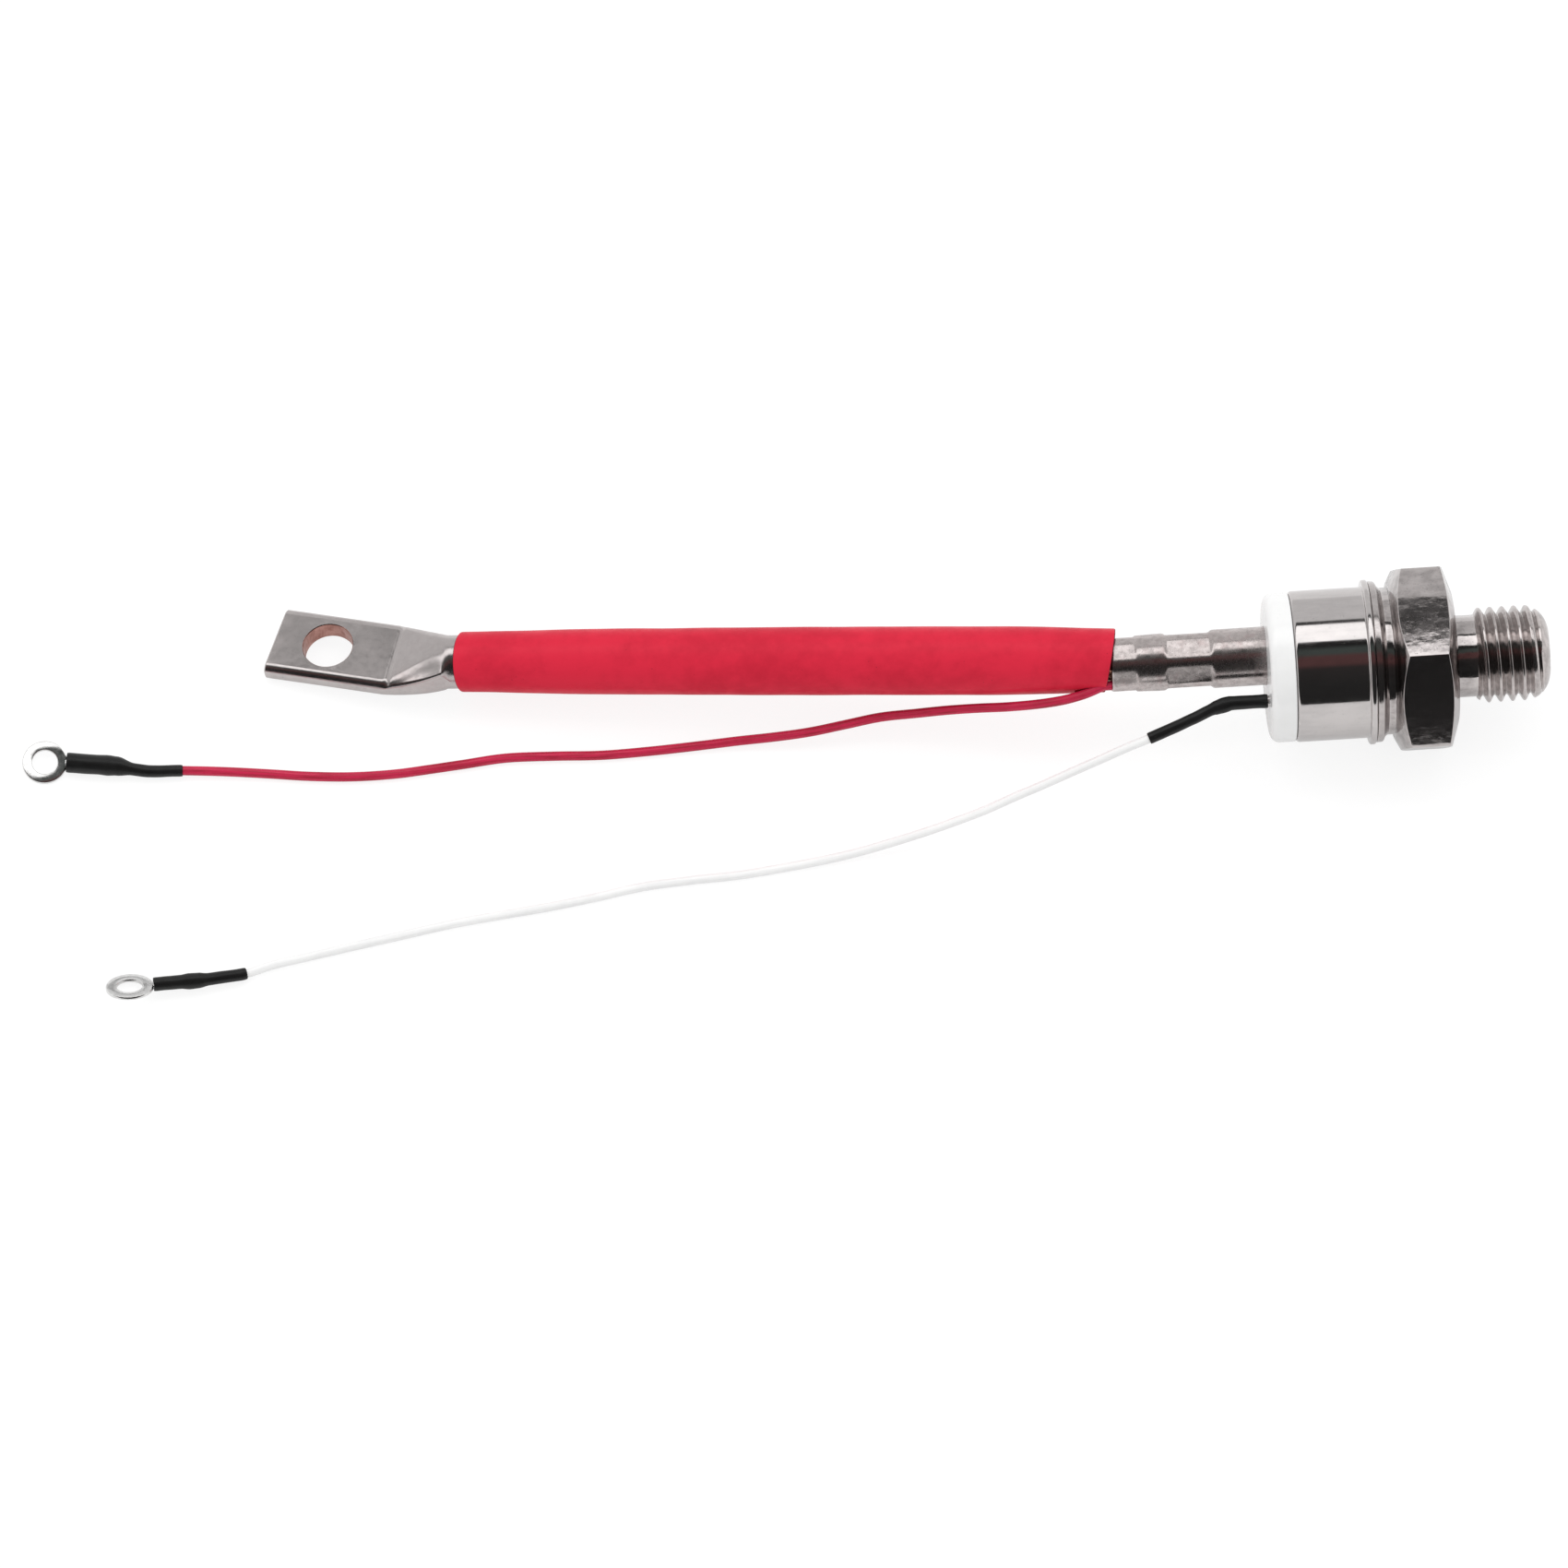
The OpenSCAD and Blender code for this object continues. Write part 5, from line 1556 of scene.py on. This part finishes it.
@dataclass(frozen=True)
class SignalWire:
    """Thin wire with its shrink tubes and its ring terminal."""

    name: str
    route: WireRoute
    wire_d: float
    finish: Plastic
    slot: Slot
    terminal: RingTerminal
    shrink_stops: Pairs
    gap: float = 0.08
    sides: int = 20
    shrink_points: int = 14
    shrink_shares: tuple[float, ...] = (0.08, 0.2, 0.35, 0.55, 0.75, 0.9, 1)
    widens: Pair = (-1.2, -0.1)

    def cord(self) -> None:
        """Makes the wire itself.
        """
        path = self.route.path(ROUTE_STEPS)
        rings = tube_rings(path, lambda s, a: self.wire_d / 2, self.sides)
        wire = add_piece(
            Skin(rings).build(), f"{self.name}_wire_skin", BENCH.home(), [self.finish.make()],
            f"{self.name}_wire",
        )

    def end_shrink(self, material: Material) -> bpy.types.Object:
        """Makes the shrink tube over the wire's end and the terminal's barrel."""
        mouth = Vector(self.route.mouth)
        ahead = heading(self.route.yaw, self.route.pitch)
        over = self.terminal.reach - self.terminal.ring_d / 2
        path = self.route.path(ROUTE_STEPS)[-self.shrink_points :]
        lead_in = route_length(path)
        path += [mouth + over * share * ahead for share in self.shrink_shares]
        widths = zip(self.widens, (self.wire_d, self.terminal.barrel_d))
        inner = tuple((lead_in + s, d / 2 + self.gap) for s, d in widths)
        outer = tuple((lead_in + s, r) for s, r in self.shrink_stops)
        return add_piece(
            ShrinkTube(path, outer, inner).build(), f"{self.name}_ring_shrink", BENCH.home(),
            [material], f"{self.name}_end_shrink",
        )

    def build(self, shrink: Material, tin: Material) -> None:
        """Makes every piece of the wire."""
        sleeve = self.end_shrink(shrink)
        ring = add_piece(
            self.terminal.build(), f"{self.name}_ring", BENCH.home(), [tin],
            f"{self.name}_terminal", sharp=40,
        )
        self.cord()


@dataclass(frozen=True)
class SignalWires:
    """Gate wire, auxiliary wire and the shrink tube at the gate pin."""

    pin_start: Point = (-31.8, -6.4, 15)
    pin_shrink_points: int = 26
    pin_outer: Pairs = (
        (0, 1.2), (1.5, 1.15), (5.6, 1.18), (7.4, 1.3), (8.8, 1.18), (9.6, 1.0), (21, 1.0),
    )
    pin_inner: Pairs = ((5.5, 0.98), (6.2, 0.83))

    def pin_shrink(self, material: Material) -> None:
        """Makes the shrink tube over the gate pin and the start of the gate wire."""
        path = [Vector(self.pin_start), *GATE_ROUTE.path(ROUTE_STEPS)[: self.pin_shrink_points]]
        add_piece(
            ShrinkTube(path, self.pin_outer, self.pin_inner).build(), "gate_pin_shrink",
            BENCH.home(), [material], "gate_shrink",
        )

    def build(self) -> None:
        """Makes every piece of both wires."""
        shrink = SHRINK.make()
        self.pin_shrink(shrink)
        SignalWire(
            "gate", GATE_ROUTE, 1.5, WHITE_WIRE, Slot.WHITE_WIRE,
            RingTerminal(GATE_ROUTE, -30, 1.8, 5.6, 8.0, 0.1),
            ((-12, 1.0), (-2.4, 1.05), (-0.7, 1.3), (0.9, 1.36), (2.3, 1.18), (6.8, 1.18)),
        ).build(shrink, TIN_RING.make())
        SignalWire(
            "aux", AUX_ROUTE, 1.6, RED_WIRE, Slot.RED_WIRE,
            RingTerminal(AUX_ROUTE, 11, 2.7, 6.4, 7.5, 0.75),
            ((-12, 1.0), (-4.2, 1.05), (-1.4, 1.62), (0.2, 1.75), (1.8, 1.68), (7, 1.7)),
        ).build(shrink, BENT_RING.make())


# Carried-over nodes -----------------------------------------------------------------------


@dataclass(frozen=True)
class CarriedNodes:
    """Finishes of the CAD nodes that are shown as they are."""

    finishes: tuple[tuple[Union[Metal, Plastic, Braid], tuple[str, ...]], ...] = (
        (ROPE, ("power_rope",)),
        (SILICON, ("silicon_wafer",)),
        (MOLYBDENUM, ("anode_disc", "cathode_disc")),
        (BARE_COPPER, ("cathode_post",)),
        (SPRING_STEEL, (
            "pressure_washer", "disc_spring_lower", "disc_spring_middle", "disc_spring_upper",
            "clamp_cup", "gate_spring",
        )),
        (GOLD, ("gate_contact",)),
        (INNER_PLASTIC, ("locating_ring", "insulating_bush", "gate_bush")),
        (NICKEL, ("gate_pin",)),
        (WHITE_WIRE, ("gate_lead",)),
        (BARE_COPPER, ("inner_lead",)),
    )

    def build(self) -> None:
        """Gives each node its finish."""
        for finish, names in self.finishes:
            material = finish.make()
            for name in names:
                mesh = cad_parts[name].data
                mesh.materials.clear()
                mesh.materials.append(material)


# Studio -----------------------------------------------------------------------------------


def grey(level: float) -> Colour:
    """Plain grey of a level."""
    return (level, level, level)


@dataclass(frozen=True)
class Studio:
    """Camera, light, surroundings and floor."""

    aim: Point = (-0.0215085, -0.0145126, 0.0)
    azimuth: float = -4.13
    elevation: float = 58.7
    distance: float = 3.0
    width: float = 0.26265
    sensor: float = 36.0
    clip: Pair = (0.1, 20)
    soft_light: Point = (2.4, 0.396, 3.9)
    soft_angle: float = 17.5
    soft_distance: float = 0.8
    card_radius: float = 0.9
    card_half: float = 1.9
    card_floor: float = 0.33
    card_lift: float = 0.0015
    card_short: float = 0.1
    floor_half: float = 4.0
    floor_colour: Colour = grey(0.8)
    floor_fade: Pair = (0.04, 0.6)
    seen_glow: float = 0.83
    seen_paint: Colour = grey(0.22)
    mirrored_glow: float = 0.42
    mirrored_paint: Colour = grey(0.55)
    fill: float = 0.85
    bands: tuple[tuple[float, Colour], ...] = (
        (-90, grey(0.82)),
        (-38.1, grey(0.82)),
        (-37.3, grey(0.06)),
        (-31.8, grey(0.05)),
        (-31.4, grey(0.45)),
        (-3.9, grey(0.45)),
        (-3.4, grey(0.02)),
        (4, grey(0.02)),
        (9, (0.075, 0.09, 0.085)),
        (15, (0.075, 0.09, 0.085)),
        (20, (0.12, 0.06, 0.06)),
        (31, (0.12, 0.06, 0.06)),
        (37, (0.04, 0.036, 0.036)),
        (60, grey(0.03)),
        (90, grey(0.025)),
    )

    def camera(self) -> None:
        """Makes the camera that sees the object as the photograph does."""
        a, e = math.radians(self.azimuth), math.radians(self.elevation)
        back = Vector((math.sin(a) * math.cos(e), -math.cos(a) * math.cos(e), math.sin(e)))
        data = bpy.data.cameras.new("camera")
        data.sensor_width = self.sensor
        data.lens = self.sensor * self.distance / self.width
        data.clip_start, data.clip_end = self.clip
        camera = linked("camera", data)
        camera.location = Vector(self.aim) + back * self.distance
        camera.rotation_mode = "QUATERNION"
        camera.rotation_quaternion = (-back).to_track_quat("-Z", "Y")
        bpy.context.scene.camera = camera

    def world(self) -> None:
        """Makes the pale surroundings, which light the object at a plain level."""
        g = Graph("surroundings", "worlds")
        background = g.tree.nodes["Background"]
        g.put(background.inputs["Color"], (1, 1, 1))
        g.put(background.inputs["Strength"], g.span(g.seen(), 0, 1, self.fill))
        bpy.context.scene.world = g.owner
        bpy.context.scene.view_settings.view_transform = "Standard"

    def lamp(self) -> None:
        """Makes the soft light above the object, a little behind it."""
        data = bpy.data.lights.new("soft light", "AREA")
        data.shape = "RECTANGLE"
        data.size, data.size_y, data.energy = self.soft_light
        lamp = linked("soft light", data)
        away = Matrix.Translation((0, 0, self.soft_distance))
        lamp.matrix_world = turn_about("X", -self.soft_angle) @ away
        lamp.visible_camera = False

    def card(self) -> None:
        """Makes the curved card whose bands the bright metal mirrors."""
        bm = bmesh.new()
        ends = [bm.verts.new((x, 0, self.card_radius)) for x in (-self.card_half, self.card_half)]
        edge = bm.edges.new(ends)
        quarter = 90 - self.card_short
        bmesh.ops.rotate(bm, verts=ends, cent=(0, 0, 0), matrix=turn_about("X", -quarter))
        made = bmesh.ops.spin(
            bm, geom=[*ends, edge], cent=(0, 0, 0), axis=(1, 0, 0), dvec=(0, 0, 0),
            angle=math.radians(2 * quarter), steps=72, use_duplicate=False,
        )["geom_last"]
        last = [g for g in made if isinstance(g, bmesh.types.BMEdge)]
        strip = bmesh.ops.extrude_edge_only(bm, edges=last)["geom"]
        for vert in (g for g in strip if isinstance(g, bmesh.types.BMVert)):
            vert.co.y, vert.co.z = -self.card_floor, self.card_lift
        g = Graph("banded card")
        _, y, z = g.axes(g.place())
        turn = g.math("ARCTAN2", g.times(y, -1), z)
        share = g.plus(g.math("DIVIDE", turn, math.pi), 0.5)
        ramp = g.add("ValToRGB", {"Fac": share})
        elements = ramp.color_ramp.elements
        for i, (angle, colour) in enumerate(self.bands):
            place = (angle + 90) / 180
            element = elements[i] if i < 2 else elements.new(place)
            element.position, element.color = place, (*colour, 1)
        light = g.add("Emission", {"Color": ramp.outputs["Color"]})
        g.tree.nodes.remove(g.tree.nodes["Principled BSDF"])
        g.owner.cycles.emission_sampling = "NONE"
        card = shown(bm, "banded card", [g.show(light.outputs["Emission"])])
        card.visible_camera = card.visible_diffuse = card.visible_shadow = False

    def floor(self) -> None:
        """Makes the pale floor, white in the picture but for the object's shadow."""
        bm = bmesh.new()
        bmesh.ops.create_grid(bm, x_segments=2, y_segments=2, size=self.floor_half)
        g = Graph("pale floor")
        g.dress(Base_Color=self.floor_colour, Roughness=1, Specular_IOR_Level=0)
        x, y, _ = g.axes(g.place())
        away = g.plus(g.times(x, x), g.times(y, y))
        camera = g.add("LightPath").outputs["Is Camera Ray"]
        seen = g.span(away, *self.floor_fade, self.seen_glow)
        strength = g.span(camera, 0, 1, self.mirrored_glow, seen)
        paint = g.mix(camera, self.mirrored_paint, self.seen_paint)
        glow = g.add("Emission", {"Strength": strength})
        matt = g.add("BsdfDiffuse", {"Color": paint})
        both = g.add("AddShader", {0: glow.outputs[0], 1: matt.outputs[0]})
        plain = g.tree.nodes["Principled BSDF"]
        pick = g.add("MixShader", {0: g.seen(), 1: plain.outputs[0], 2: both.outputs[0]})
        g.owner.cycles.emission_sampling = "NONE"
        shown(bm, "floor", [g.show(pick.outputs[0])])

    def build(self) -> None:
        """Sets up everything about the object."""
        self.world()
        self.lamp()
        self.card()
        self.floor()


def main() -> None:
    """Builds the scene."""
    logging.basicConfig(level=logging.INFO, format="%(name)s: %(message)s")
    studio = Studio()
    studio.camera()
    SignalWires().build()
    StudBase().build()
    Housing().build()
    CathodeTube().build()
    PowerLead().build()
    CarriedNodes().build()
    studio.build()


if __name__ == "__main__":
    main()
